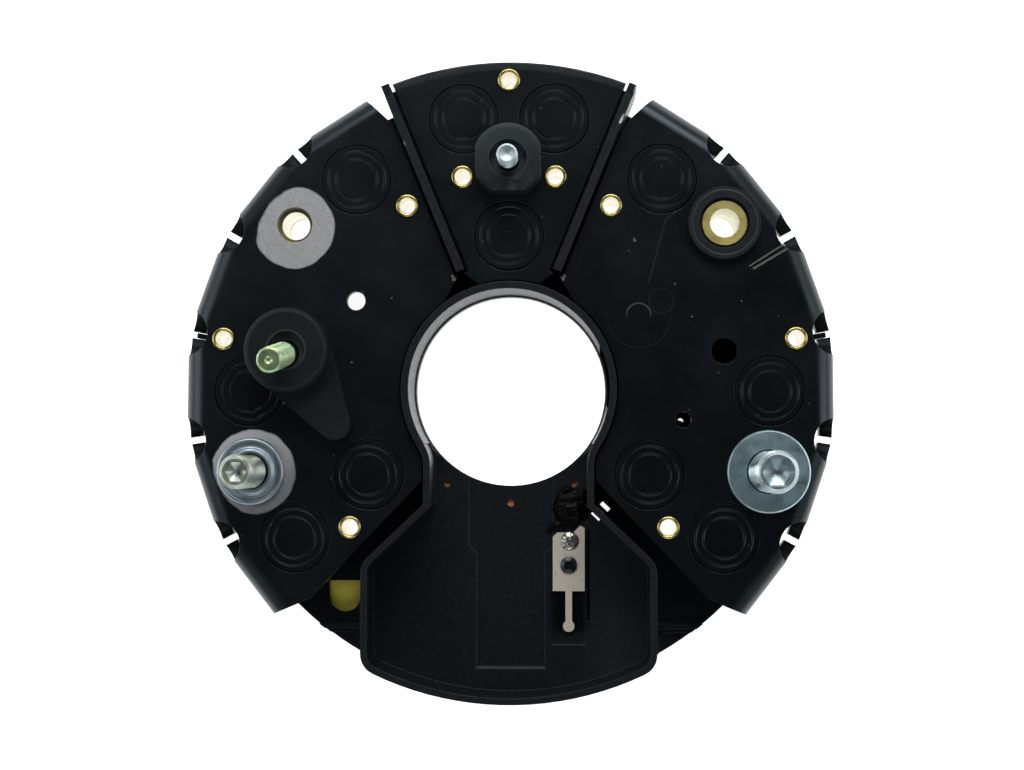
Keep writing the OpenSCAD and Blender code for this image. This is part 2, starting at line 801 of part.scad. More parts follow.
module sight_holes() {
    for (i = [-1:1]) rotate(-upright + i * sight_a) translate([star_r, 0, 0]) cylinder(d = sight_d, h = far);
}

module drain_slits() {
    translate([neck_hw, -neck_y, -over]) rotate(-shoulder_a) {
        translate([slit_start, slit_gap, 0]) cube([slit_l, slit_w, base_t + 2 * over]);
        translate([slit_start, -bay_wall - loose - inner_slit_w, 0])
            cube([slit_l, inner_slit_w, base_t + 2 * over]);
    }
}

module carrier_holes() {
    at(all_rivets) {
        drill(rivet_d + 2 * loose);
        translate([0, 0, -over]) cylinder(d = rivet_head_d + 4 * loose, h = rivet_seat + over);
    }
    at([mount_spot, mirrored(mount_spot)]) drill(bush_d + 2 * fit);
    at(all_leads) drill(lead_d + 4 * loose);
    at([tail_spot]) drill(link_pin_d + 4 * loose);
    at([light_window]) drill(light_window_d);
    at([positive_light]) drill(pin_hole_d);
    linear_extrude(far) window_outline(0);
    translate([strip_x, -contact_rivet_y, 0]) drill(contact_shank_d + 2 * fit);
}

module carrier() {
    color(black_plastic) difference() {
        union() {
            cylinder(r = base_r, h = base_t);
            boss_straps();
            wedge_base();
            linear_extrude(rim_z) wall_outline(0);
            rib_solids();
            rib_ledges();
            lug_solids();
            curb_solids();
            at(all_rivets) cylinder(d = boss_d, h = sink_z);
            at([mount_spot, mirrored(mount_spot)]) cylinder(d = mount_boss_d, h = sink_z);
        }
        bay_space();
        collar_space();
        corner_pockets();
        channels();
        sight_holes();
        drain_slits();
        carrier_holes();
    }
}

// The bent, notched heat sinks

module sink_plan_limit() {
    half = sink_span / 2;
    skirt_half = skirt_span / 2;
    low = polar(corner_r, sink_axis - half);
    high = polar(corner_r, sink_axis + half);
    low_end = beyond(low, polar(skirt_r, sink_axis - skirt_half));
    high_end = beyond(high, polar(skirt_r, sink_axis + skirt_half));
    fan = [for (i = [-1:1]) polar(far, sink_axis + i * half / 2)];
    polygon(concat([[0, 0], low, low_end], fan, [high_end, high]));
}

// Facets at a distance r from the shaft axis, as far as the given number of corners on each side
module skirt_outline(r, corners) {
    facet_corner_r = r / cos(facet_pitch / 2);
    fan = [for (i = [-corners:corners]) polar(facet_corner_r, sink_axis + i * facet_pitch)];
    polygon(concat([[0, 0]], fan));
}

module sink_outline() {
    cut_start = polar(inner_cut_r, upright - rib_a);
    cut_end = polar(collar_r + sink_gap, sink_axis + inner_cut_a);
    difference() {
        skirt_outline(skirt_r, facets / 2);
        wall_outline(sink_gap);
        rib_outline(rib_gap);
        polygon([[0, 0], cut_end, cut_start]);
    }
}

// The space between an arc of the bend and the sharp corner beyond it, along each facet
module bend_corners(r) {
    bend_x = skirt_r - bend_r;
    facet_l = 2 * bend_x * tan(facet_pitch / 2);
    for (i = [0:facets - 1]) rotate(sink_axis + (i - facets / 2 + 0.5) * facet_pitch)
        translate([bend_x + ease, facet_l / 2, front_z - bend_r + ease])
        rotate([90, 0, 0]) linear_extrude(facet_l) difference() {
            square(bend_r + over);
            circle(r);
        }
}

// The sheet: a tray with rounded outer and inner corners
module sink_sheet() {
    difference() {
        translate([0, 0, skirt_z]) linear_extrude(skirt_depth) sink_outline();
        bend_corners(bend_r);
        difference() {
            translate([0, 0, skirt_z - over]) linear_extrude(sink_z - skirt_z + over)
                skirt_outline(skirt_r - sink_t, facets / 2 + 1);
            bend_corners(bend_r - sink_t);
        }
    }
}

// A round relief in plan and in elevation, with the slot below it
module skirt_notch() {
    relief_r = relief_d / 2;
    relief_z = front_z - relief_drop;
    intersection() {
        translate([relief_in_r + relief_r, 0, 0]) cylinder(r = relief_r, h = far);
        union() {
            translate([0, 0, relief_z]) rotate([0, 90, 0]) cylinder(r = relief_r, h = far);
            translate([0, -far, relief_z]) cube([far, 2 * far, far]);
        }
    }
    translate([skirt_r - bend_r, -slot_w / 2, 0]) cube([far, slot_w, relief_z]);
}

module diode_seat() {
    drill(can_d + 2 * fit);
    translate([0, 0, front_z - flange_t]) cylinder(d = flange_d + 4 * fit, h = far);
}

module sink_body() {
    difference() {
        intersection() {
            sink_sheet();
            linear_extrude(far) sink_plan_limit();
        }
        for (i = [1:facets - 1]) rotate(sink_axis + (i - facets / 2) * facet_pitch) skirt_notch();
        at(diode_spots) diode_seat();
        at(sink_rivets) drill(rivet_d + 2 * loose);
    }
}

module negative_heat_sink() {
    color(black_paint) difference() {
        mirror([1, 0, 0]) sink_body();
        at([mirrored(mount_spot)]) drill(negative_mount_d);
        at([mirrored(stud_spot)]) drill(stud_hole(b_minus_d));
        at([negative_light]) drill(negative_light_d);
        at([tail_spot]) drill(boot_sleeve_d + 2 * fit);
    }
}

module positive_heat_sink() {
    color(black_paint) difference() {
        sink_body();
        at([mount_spot]) drill(sleeve_d + 2 * fit);
        at([stud_spot]) drill(stud_hole(b_plus_d));
        at([positive_light]) drill(positive_light_d);
        at([spare_hole]) drill(spare_hole_d);
    }
}

module exciter_heat_sink() {
    side = polar(far, upright - rib_a);
    cut_start = polar(inner_cut_r, upright - rib_a);
    cut_end = polar(collar_r, upright - wedge_cut_a);
    color(black_paint) difference() {
        translate([0, 0, sink_z]) linear_extrude(sink_t) difference() {
            intersection() {
                circle(wedge_r);
                polygon([[0, 0], side, [side[0], far], [-side[0], far], mirrored(side)]);
            }
            rib_outline(rib_gap);
            circle(collar_r + sink_gap);
            both_sides() polygon([[0, 0], beyond(cut_end, cut_start), cut_end]);
        }
        at(exciter_spots) diode_seat();
        at(wedge_rivets) drill(rivet_d + 2 * loose);
        at([d_stud_spot]) drill(stud_hole(d_stud_d));
    }
}

// Press-fit diodes: flange, body, seal and lead in one turned profile

function ring_groove(d) = [[d / 2 + groove_w, 0], [d / 2, -groove_h], [d / 2 - groove_w, 0]];

module diode() {
    can_z = -flange_t - can_h;
    color(black_paint) translate([0, 0, front_z]) rotate_extrude() polygon(concat(
        [[0, lead_z - front_z], [lead_d / 2, lead_z - front_z], [lead_d / 2, can_z - seal_h]],
        [[seal_d / 2, can_z], [can_d / 2 - diode_edge, can_z], [can_d / 2, can_z + diode_edge]],
        [[can_d / 2, -flange_t], [flange_d / 2, -flange_t]],
        [[flange_d / 2, -diode_edge], [flange_d / 2 - diode_edge, 0]],
        ring_groove(groove_d[0]),
        ring_groove(groove_d[1]),
        [[0, 0]]
    ));
}

module negative_diode(i) {
    at([mirrored(diode_spots[i])]) diode();
}

module positive_diode(i) {
    at([diode_spots[i]]) diode();
}

module exciter_diode(i) {
    at([exciter_spots[i]]) diode();
}

// Hollow rivets, flared at both ends

module tubular_rivets() {
    bore = rivet_bore_d / 2;
    tube = rivet_d / 2;
    head = rivet_head_d / 2;
    lip = rivet_head_t / 2;
    top = front_z + rivet_head_t;
    bottom = rivet_seat - rivet_head_t;
    color(brass) at(all_rivets) rotate_extrude() polygon([
        [bore, bottom + lip], [bore + lip, bottom], [head - lip, bottom], [head, bottom + lip],
        [head, rivet_seat], [tube, rivet_seat], [tube, front_z], [head, front_z],
        [head, top - lip], [head - lip, top], [bore + lip, top], [bore, top - lip]
    ]);
}

// Main terminals

module hex_socket(across) {
    cylinder(d = across / cos(2 * upright / hex_sides), h = far, $fn = hex_sides);
}

// A stud from z0 with a plain neck up to neck_z and a chamfered tip at tip_z
module stud_rod(d, z0, neck_z, tip_z, chamfer) {
    translate([0, 0, z0]) cylinder(d = d - 2 * stud_neck, h = neck_z - z0);
    translate([0, 0, neck_z]) cylinder(d = d, h = tip_z - chamfer - neck_z);
    translate([0, 0, tip_z - chamfer]) cylinder(d1 = d, d2 = d - 2 * chamfer, h = chamfer);
}

module main_stud(d, washer_t, across) {
    seat_z = front_z + washer_t;
    tip_z = seat_z + stud_h;
    difference() {
        union() {
            translate([0, 0, sink_z - stud_head_t]) cylinder(d = stud_head_d, h = stud_head_t);
            stud_rod(d, sink_z, seat_z + thread_start, tip_z, stud_chamfer);
        }
        translate([0, 0, tip_z - socket_h]) hex_socket(across);
    }
}

module washer(d, hole_d, t) {
    c = washer_chamfer;
    translate([0, 0, front_z]) rotate_extrude() polygon([
        [hole_d / 2, 0], [d / 2, 0], [d / 2, t - c], [d / 2 - c, t], [hole_d / 2, t]
    ]);
}

module b_minus_stud() {
    color(yellow_zinc) at([mirrored(stud_spot)]) main_stud(b_minus_d, b_minus_washer_t, b_minus_socket);
}

module b_minus_washer() {
    hole = stud_hole(b_minus_d) + 2 * stud_play;
    color(zinc) at([mirrored(stud_spot)]) washer(b_minus_washer_d, hole, b_minus_washer_t);
}

module b_plus_stud() {
    color(zinc) at([stud_spot]) main_stud(b_plus_d, b_plus_washer_t, b_plus_socket);
}

module b_plus_washer() {
    hole = stud_hole(b_plus_d) + 2 * stud_play;
    color(zinc) at([stud_spot]) washer(b_plus_washer_d, hole, b_plus_washer_t);
}

// Exciter terminal on the wedge

block_z = front_z + block_h;

module d_plus_stud() {
    color(zinc) at([d_stud_spot]) {
        translate([0, 0, sink_z - d_head_t]) cylinder(d = d_head_d, h = d_head_t);
        stud_rod(d_stud_d, sink_z, block_z + thread_start, block_z + d_stud_h, small_chamfer);
    }
}

module d_plus_insulator() {
    r = block_d / 2;
    e = block_edge_r;
    color(dark_rubber) at([d_stud_spot]) translate([0, 0, front_z]) difference() {
        intersection() {
            rotate_extrude() {
                square([r, block_h - e]);
                square([r - e, block_h]);
                translate([r - e, block_h - e]) circle(e);
            }
            translate([-block_w / 2, -block_low, 0]) cube([block_w, block_low + far, block_h]);
        }
        drill(stud_hole(d_stud_d));
        translate([0, 0, block_h - block_recess_h]) cylinder(d = block_recess_d, h = far);
    }
}

// Phase terminal: a stud on a link inside a boot

link_base_z = front_z + link_z;
tail_dir = tail_spot - boot_spot;
tail_heading = atan2(tail_dir[1], tail_dir[0]);
tail_l = norm(tail_dir);

module link_outline(g) {
    at([boot_spot]) circle(d = w_stud_d + link_w + 2 * g);
    straight_bar(boot_spot, tail_spot, link_w + 2 * g);
    at([tail_spot]) circle(d = link_w + 2 * g);
}

// Along the leaning stud's own axis, from the link's underside
module lean() {
    at([boot_spot]) translate([0, 0, link_base_z])
        rotate([0, 0, w_lean_dir]) rotate([0, w_lean, 0]) children();
}

module w_stud() {
    neck_l = boot_h - link_z + over;
    color(yellow_zinc) {
        translate([0, 0, link_base_z]) linear_extrude(link_t) link_outline(0);
        at([tail_spot]) translate([0, 0, lead_z]) cylinder(d = link_pin_d, h = link_base_z - lead_z);
        intersection() {
            lean() stud_rod(w_stud_d, -link_t, neck_l, w_stud_l, small_chamfer);
            translate([0, 0, link_base_z]) cylinder(r = far, h = far);
        }
    }
}

// The tail's sides touch the disc and the tail's round end
module boot_plan() {
    r = boot_d / 2;
    turn = acos((r - tail_end_r) / tail_l);
    side = [cos(turn), sin(turn)];
    right = [(r - ease) * side, [tail_l, 0] + (tail_end_r - ease) * side];
    translate(boot_spot) rotate(tail_heading)
        polygon([right[0], right[1], [right[1][0], -right[1][1]], [right[0][0], -right[0][1]]]);
    at([tail_spot]) circle(tail_end_r);
}

module boot_tail() {
    intersection() {
        translate([0, 0, front_z]) linear_extrude(far) boot_plan();
        translate([boot_spot[0], boot_spot[1], front_z]) rotate(tail_heading) rotate([90, 0, 0])
            linear_extrude(far, center = true) polygon([
                [0, 0], [0, tail_root_h], [tail_l, tail_end_h], [far, tail_end_h], [far, 0]
            ]);
    }
}

module w_insulator() {
    boot_edge = block_edge_r;
    r = boot_d / 2;
    color(dark_rubber) difference() {
        union() {
            at([boot_spot]) translate([0, 0, front_z]) rotate_extrude() {
                square([r, boot_h - boot_edge]);
                square([r - boot_edge, boot_h]);
                translate([r - boot_edge, boot_h - boot_edge]) circle(boot_edge);
            }
            boot_tail();
            at([tail_spot]) translate([0, 0, sink_z]) cylinder(d = boot_sleeve_d, h = sink_t);
        }
        translate([0, 0, link_base_z]) linear_extrude(link_t) link_outline(loose);
        intersection() {
            lean() drill(stud_hole(w_stud_d));
            translate([0, 0, link_base_z]) cylinder(r = far, h = far);
        }
        at([boot_spot]) translate([0, 0, front_z + boot_h - boot_recess_h])
            cylinder(d = boot_recess_d, h = far);
        at([tail_spot]) translate([0, 0, link_base_z + link_t / 2 - far])
            cylinder(d = link_pin_d + 2 * loose, h = far);
    }
}

// Mounting bushes

module bush(bore, top) {
    difference() {
        cylinder(d = bush_d, h = top);
        drill(bore);
    }
}

module negative_bush() {
    color(brass) at([mirrored(mount_spot)]) bush(negative_bush_bore, sink_z);
}

module positive_bush() {
    color(brass) at([mount_spot]) bush(positive_bush_bore, front_z + bush_rise);
}

module bush_insulator() {
    color(dark_rubber) at([mount_spot]) difference() {
        union() {
            translate([0, 0, front_z]) cylinder(d = ring_d, h = ring_h);
            translate([0, 0, sink_z]) cylinder(d = sleeve_d, h = sink_t);
        }
        drill(bush_d + 2 * fit);
        translate([0, 0, front_z + ring_h - ring_recess_h]) cylinder(d = ring_recess_d, h = far);
    }
}

// Contact in the bay

module contact_strip() {
    hw = strip_w / 2;
    color(tin) translate([strip_x, 0, bay_floor_t]) linear_extrude(strip_t) difference() {
        union() {
            polygon([
                [-hw, -strip_low_y], [hw, -strip_low_y], [hw, -strip_top_y],
                [hw - tear, -strip_top_y + tear / 2], [tear, -strip_top_y - tear],
                [-hw + tear, -strip_top_y - tear], [-hw, -strip_top_y - 2 * tear]
            ]);
            translate([-tongue_w / 2, tongue_head_w / 2 - tongue_end_y])
                square([tongue_w, tongue_end_y - tongue_head_w / 2 - strip_low_y + tear]);
            translate([0, tongue_head_w / 2 - tongue_end_y]) circle(d = tongue_head_w);
        }
        translate([0, -contact_rivet_y]) circle(d = contact_shank_d + 2 * fit);
    }
}

module contact_rivet() {
    r = contact_rivet_d / 2;
    head_z = bay_floor_t + strip_t;
    color(tar) translate([strip_x, -contact_rivet_y, 0]) rotate_extrude() polygon([
        [0, bay_floor_t / 2], [contact_shank_d / 2, bay_floor_t / 2],
        [contact_shank_d / 2, head_z], [r, head_z], [r, head_z + contact_rivet_h / 2],
        [r / 2, head_z + contact_rivet_h], [0, head_z + contact_rivet_h]
    ]);
}

// A drop of resin: the cap of a sphere that meets the floor on a circle of radius r
module drop(r, h) {
    ball = (r * r + h * h) / (2 * h);
    intersection() {
        translate([0, 0, h - ball]) sphere(ball);
        cylinder(r = 2 * r, h = 2 * h);
    }
}

module sealing_resin() {
    color(tar) translate([strip_x, -strip_top_y, bay_floor_t]) {
        translate([0, resin_r, 0]) drop(resin_r, resin_h);
        translate([(resin_ratio - 1) * resin_r, (resin_ratio + 1) * resin_r, 0])
            drop(resin_ratio * resin_r, resin_ratio * resin_h);
    }
}

// Conductors in the carrier's back

module bar_solid(spots) {
    color(brass) translate([0, 0, bar_z]) difference() {
        linear_extrude(bar_t) children();
        at(spots) drill(lead_d + 2 * fit);
    }
}

module phase_bar_u() {
    bar_solid([diode_spots[0], mirrored(diode_spots[0]), exciter_spots[0]]) phase_u_outline(0);
}

module phase_bar_v() {
    bar_solid([diode_spots[1], mirrored(diode_spots[1]), exciter_spots[1]]) phase_v_outline(0);
}

module phase_bar_w() {
    difference() {
        bar_solid([diode_spots[2], mirrored(diode_spots[2]), exciter_spots[2]]) phase_w_outline(0);
        at([tail_spot]) drill(link_pin_d + 2 * fit);
    }
}

module star_bar() {
    color(copper) bar_solid([diode_spots[3], mirrored(diode_spots[3])]) star_outline(0);
}

carrier();
negative_heat_sink();
positive_heat_sink();
exciter_heat_sink();
for (i = [0:3]) {
    negative_diode(i);
    positive_diode(i);
}
for (i = [0:2]) {
    exciter_diode(i);
}
tubular_rivets();
b_minus_stud();
b_minus_washer();
b_plus_stud();
b_plus_washer();
d_plus_stud();
d_plus_insulator();
w_stud();
w_insulator();
negative_bush();
positive_bush();
bush_insulator();
contact_strip();
contact_rivet();
sealing_resin();
phase_bar_u();
phase_bar_v();
phase_bar_w();
star_bar();
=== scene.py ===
import math
import bpy
import bmesh
from mathutils import Matrix, Vector, noise


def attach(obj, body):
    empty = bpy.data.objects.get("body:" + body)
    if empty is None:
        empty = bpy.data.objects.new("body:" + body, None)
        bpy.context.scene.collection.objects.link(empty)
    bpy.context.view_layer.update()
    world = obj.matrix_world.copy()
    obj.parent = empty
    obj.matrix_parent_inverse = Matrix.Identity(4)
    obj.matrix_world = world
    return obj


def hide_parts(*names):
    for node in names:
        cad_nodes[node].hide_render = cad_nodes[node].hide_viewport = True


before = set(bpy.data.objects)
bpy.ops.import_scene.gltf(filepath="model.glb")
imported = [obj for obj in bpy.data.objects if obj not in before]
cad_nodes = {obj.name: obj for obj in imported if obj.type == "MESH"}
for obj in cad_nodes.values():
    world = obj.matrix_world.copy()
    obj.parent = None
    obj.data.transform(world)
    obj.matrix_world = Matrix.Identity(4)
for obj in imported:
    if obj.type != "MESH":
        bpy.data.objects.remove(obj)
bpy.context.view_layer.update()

MM = 0.001
HAIR = 0.02  # mm between two rings that stand for one edge
ROUND = 48  # points round a stud
BLUISH = (0.72, 0.88, 1.0, 1.0)  # specular tint of the black surfaces

# Heights and plan places in mm, as in the part's source
FRONT = 19.0  # front face of the heat sinks
BAY_FLOOR = 3.4
PANEL_UP, PANEL_LOW = 10.1, 8.1  # half widths of the sunk panel in the bay, above and below its step
PANEL_TOP, PANEL_STEP, PANEL_END = 22, 37.1, 66.6  # where the panel starts, narrows and ends, below the axis
PANEL_Z = 3.2
STUD = (60.780, -19.397)  # right main stud; the left one is its mirror image
TOP_STUD = (0.0, 53.406)
BOOT = (-51.357, 8.778)  # the leaning stud and its boot
TAIL = (-40.705, -8.282)  # pin under the boot's narrow end
LINK_Z = 20.2  # underside of the strap from the leaning stud to that pin
RIGHT_HOLE = (50.616, 38.839)  # right mounting hole

# Bench wear on the heat sinks, plan places in mm
GROUND_PATCHES = (  # a disc and the larger disc that trims one side of it: centre, radius
    ((-50.8, 38.2), 9.6, (-46.56, 35.36), 13.0),
    ((-60.2, -19.5), 9.9, (-55.79, -16.57), 14.0),
)
SCORE = ((39.5, 41.9), (36.8, 39.55), (32.9, 25.0))
PRESS_DISH = (35.8, 20.65)
SCRATCHES = (((56.6, 28.9), (64.5, 33.9), 0.24), ((57.5, 28.3), (66.0, 33.3), 0.3))
GOUGE = ((56.9, 28.5), (65.2, 33.6))
FLECKS = (  # x, y, radius
    (29.6, 34.9, 0.26), (29.5, 35.3, 0.2), (43.0, 17.0, 0.18), (39.0, 24.7, 0.16), (-37.0, 6.3, 0.2),
    (-53.0, -3.3, 0.22), (54.6, 20.6, 0.15), (-27.6, 21.5, 0.15), (-12.95, 25.9, 0.45), (12.67, 25.9, 0.45),
    (-13.3, 26.6, 0.3), (13.1, 26.6, 0.3), (53.7, 0.4, 0.2), (34.1, -42.0, 0.22), (24.6, -30.0, 0.15),
)


# Materials

class Graph:
    """A material's node graph around its Principled shader, in the row's own coordinates."""

    def __init__(self, name):
        self.mat = bpy.data.materials.new(name)
        self.mat.use_nodes = True
        self.tree = self.mat.node_tree
        self.bsdf = self.tree.nodes["Principled BSDF"]
        self.co = self.add("ShaderNodeTexCoord").outputs["Object"]

    def add(self, kind, **props):
        node = self.tree.nodes.new(kind)
        for key, value in props.items():
            setattr(node, key, value)
        return node

    def put(self, socket, value):
        if isinstance(value, bpy.types.NodeSocket):
            self.tree.links.new(value, socket)
        else:
            socket.default_value = value

    def math(self, op, a, b=0.0):
        node = self.add("ShaderNodeMath", operation=op)
        self.put(node.inputs[0], a)
        self.put(node.inputs[1], b)
        return node.outputs[0]

    def times(self, first, *others):
        for other in others:
            first = self.math("MULTIPLY", first, other)
        return first

    def vec(self, op, a, b=(0, 0, 0), out="Vector"):
        node = self.add("ShaderNodeVectorMath", operation=op)
        self.put(node.inputs[0], a)
        if op == "SCALE":
            self.put(node.inputs["Scale"], b)
        elif op != "LENGTH":
            self.put(node.inputs[1], b)
        return node.outputs[out]

    def noise(self, scale, detail=2.0, rough=0.5):
        node = self.add("ShaderNodeTexNoise")
        self.put(node.inputs["Vector"], self.co)
        node.inputs["Scale"].default_value = scale
        node.inputs["Detail"].default_value = detail
        node.inputs["Roughness"].default_value = rough
        return node.outputs["Fac"]

    def remap(self, value, lo, hi, to_lo=0.0, to_hi=1.0):
        node = self.add("ShaderNodeMapRange", clamp=True)
        self.put(node.inputs["Value"], value)
        for key, v in (("From Min", lo), ("From Max", hi), ("To Min", to_lo), ("To Max", to_hi)):
            self.put(node.inputs[key], v)
        return node.outputs["Result"]

    def mix(self, fac, a, b):
        node = self.add("ShaderNodeMix", data_type="RGBA")
        self.put(node.inputs[0], fac)
        for socket, value in ((node.inputs[6], a), (node.inputs[7], b)):
            self.put(socket, value if isinstance(value, bpy.types.NodeSocket) else (*value, 1.0))
        return node.outputs[2]

    def lerp(self, fac, a, b):
        node = self.add("ShaderNodeMix", data_type="FLOAT")
        self.put(node.inputs[0], fac)
        self.put(node.inputs[2], a)
        self.put(node.inputs[3], b)
        return node.outputs[0]

    def along(self, direction):
        return self.vec("DOT_PRODUCT", self.co, direction, "Value")

    def height_mm(self):
        return self.math("DIVIDE", self.along((0, 0, 1)), MM)

    def plan(self):
        return self.vec("MULTIPLY", self.co, (1, 1, 0))

    def box(self, lo, hi, edge):
        """1 inside a plan rectangle in mm, fading over its edges."""
        across = []
        for axis, low, high in zip(((1, 0, 0), (0, 1, 0)), lo, hi):
            place = self.along(axis)
            past_low = self.remap(place, (low - edge) * MM, (low + edge) * MM)
            before_high = self.remap(place, (high + edge) * MM, (high - edge) * MM)
            across.append(self.times(past_low, before_high))
        return self.times(*across)

    def most(self, values):
        total = values[0]
        for v in values[1:]:
            total = self.math("MAXIMUM", total, v)
        return total

    def spot(self, centre, r, edge, wander=None):
        """1 inside a ball round a point in mm; wander is how far its edge strays, and at what noise scale."""
        d = self.vec("DISTANCE", self.co, [c * MM for c in centre], "Value")
        if wander:
            far, scale = wander
            n = self.math("SUBTRACT", self.noise(scale, 1.5), 0.5)
            d = self.math("ADD", d, self.times(n, 2 * far * MM))
        return self.remap(d, (r + edge) * MM, (r - edge) * MM)

    def line(self, p, q, width):
        """1 on a stroke between two points in mm."""
        a = Vector(p) * MM
        d = Vector(q) * MM - a
        length = d.length
        d.normalize()
        rel = self.vec("SUBTRACT", self.co, a)
        clamp = self.add("ShaderNodeClamp")
        self.put(clamp.inputs["Value"], self.vec("DOT_PRODUCT", rel, d, "Value"))
        clamp.inputs["Min"].default_value = 0.0
        clamp.inputs["Max"].default_value = length
        foot = self.vec("SCALE", d, clamp.outputs[0])
        dist = self.vec("LENGTH", self.vec("SUBTRACT", rel, foot), out="Value")
        return self.remap(dist, width * MM, 0.4 * width * MM)

    def stroke(self, points, width):
        return self.most([self.line(p, q, width) for p, q in zip(points, points[1:])])

    def beside(self, point, normal, edge):
        """1 on the side of a plane that its normal points to."""
        rel = self.vec("SUBTRACT", self.co, [c * MM for c in point])
        return self.remap(self.vec("DOT_PRODUCT", rel, normal, "Value"), -edge * MM, edge * MM)

    def arc(self, centre, r, width, toward=None, edge=1.0):
        """1 on a circle, or on the part of it on one side of its centre."""
        d = self.vec("DISTANCE", self.co, [c * MM for c in centre], "Value")
        off = self.math("ABSOLUTE", self.math("SUBTRACT", d, r * MM))
        ring = self.remap(off, width * MM, 0.3 * width * MM)
        if toward:
            ring = self.times(ring, self.beside(centre, toward, edge))
        return ring

    def specks(self, cell, size, share):
        """Sparse dots: one in each chosen cell of a plan grid."""
        node = self.add("ShaderNodeTexVoronoi", voronoi_dimensions="2D")
        self.put(node.inputs["Vector"], self.plan())
        node.inputs["Scale"].default_value = 1 / (cell * MM)
        dot = self.remap(node.outputs["Distance"], size / cell, 0.5 * size / cell)
        pick = self.add("ShaderNodeSeparateColor")
        self.put(pick.inputs[0], node.outputs["Color"])
        return self.times(dot, self.math("LESS_THAN", pick.outputs[0], share))

    def relief(self, height, depth, strength, round_mm=0.0):
        """Bump of a 0..1 height over depth mm, on edges softened by round_mm."""
        bump = self.add("ShaderNodeBump")
        bump.inputs["Strength"].default_value = strength
        bump.inputs["Distance"].default_value = depth * MM
        self.put(bump.inputs["Height"], height)
        if round_mm:
            bevel = self.add("ShaderNodeBevel", samples=4)
            bevel.inputs["Radius"].default_value = round_mm * MM
            self.put(bump.inputs["Normal"], bevel.outputs[0])
        return bump.outputs[0]

    def finish(self, color, rough, normal=None, metal=0.0, **more):
        inputs = self.bsdf.inputs
        self.put(inputs["Base Color"], color if isinstance(color, bpy.types.NodeSocket) else (*color, 1.0))
        self.put(inputs["Roughness"], rough)
        self.put(inputs["Metallic"], metal)
        if normal is not None:
            self.put(inputs["Normal"], normal)
        for key, value in more.items():
            self.put(inputs[key.replace("_", " ")], value)
        return self.mat


def front(x, y):
    return (x, y, FRONT)


def bench_marks(g, color, rough, peel):
    """Wear on the heat sinks: ground patches, a score, press marks, a double scratch and flecks, with painted
    light and shade on the lower ground patch and painted highlights on the press marks.
    """
    fine = g.noise(1500, 3.0, 0.7)
    broad = g.noise(110, 3.0, 0.6)
    bare = g.most([
        g.times(g.spot(front(*disc), r, 0.2, (0.35, 330)), g.spot(front(*trim), trim_r, 0.25, (0.3, 420)))
        for disc, r, trim, trim_r in GROUND_PATCHES
    ])
    score = g.stroke([front(*p) for p in SCORE], 0.26)
    arch = g.arc(front(30.5, 17.3), 2.85, 0.24, (0, 1, 0), 0.7)
    press_ring = g.arc(front(30.5, 17.2), 7.5, 0.2, (0, -1, 0), 5.0)
    dish = g.spot(front(*PRESS_DISH), 2.6, 0.5)
    crescent = g.arc(front(*PRESS_DISH), 2.9, 0.24)
    rub = g.most([g.line(front(*p), front(*q), width) for p, q, width in SCRATCHES])
    rub = g.times(rub, g.remap(fine, 0.3, 0.5, 0.35, 1.0))
    gouge = g.line(front(*GOUGE[0]), front(*GOUGE[1]), 0.36)
    flecks = g.most([g.spot(front(x, y), r, 0.12) for x, y, r in FLECKS])

    metal_color = g.mix(broad, (0.245, 0.246, 0.25), (0.345, 0.346, 0.35))
    metal_color = g.mix(g.remap(fine, 0.35, 0.75), metal_color, (0.40, 0.397, 0.395))
    # painted light and shade: the lower ground patch is painted paler on its top side and darker on its lower
    # right, where the stud shades it
    lower_patch = g.beside(front(-50, 5), (0, -1, 0), 3.0)
    pale = g.times(g.beside(front(-61.0, -13.5), (-0.2, 0.98, 0), 4.0), lower_patch)
    metal_color = g.mix(pale, metal_color, (0.46, 0.465, 0.475))
    shade = g.times(g.beside(front(-56.5, -25.0), (0.62, -0.78, 0), 4.5), lower_patch)
    metal_color = g.mix(shade, metal_color, (0.105, 0.125, 0.14))

    # painted highlights: the dish's pale crescent and the arch's pale arc stand for light on their slopes; the
    # score is painted paler too
    lines = g.most([g.times(score, 0.5), g.times(crescent, 0.3)])
    color = g.mix(lines, color, (0.02, 0.025, 0.028))
    color = g.mix(g.times(press_ring, 0.5), color, (0.014, 0.017, 0.019))
    color = g.mix(g.times(arch, g.remap(broad, 0.3, 0.55)), color, (0.045, 0.052, 0.055))
    color = g.mix(flecks, color, (0.12, 0.125, 0.125))
    color = g.mix(rub, color, (0.12, 0.115, 0.106))
    color = g.mix(gouge, color, (0.002, 0.002, 0.002))
    color = g.mix(bare, color, metal_color)
    sunk = g.times(g.most([bare, gouge, g.times(dish, 0.8)]), 3.0)
    raised = g.times(g.most([score, arch]), 2.0)
    height = g.math("ADD", g.math("SUBTRACT", peel, sunk), raised)
    return color, g.lerp(bare, rough, 0.6), g.times(bare, 0.7), height


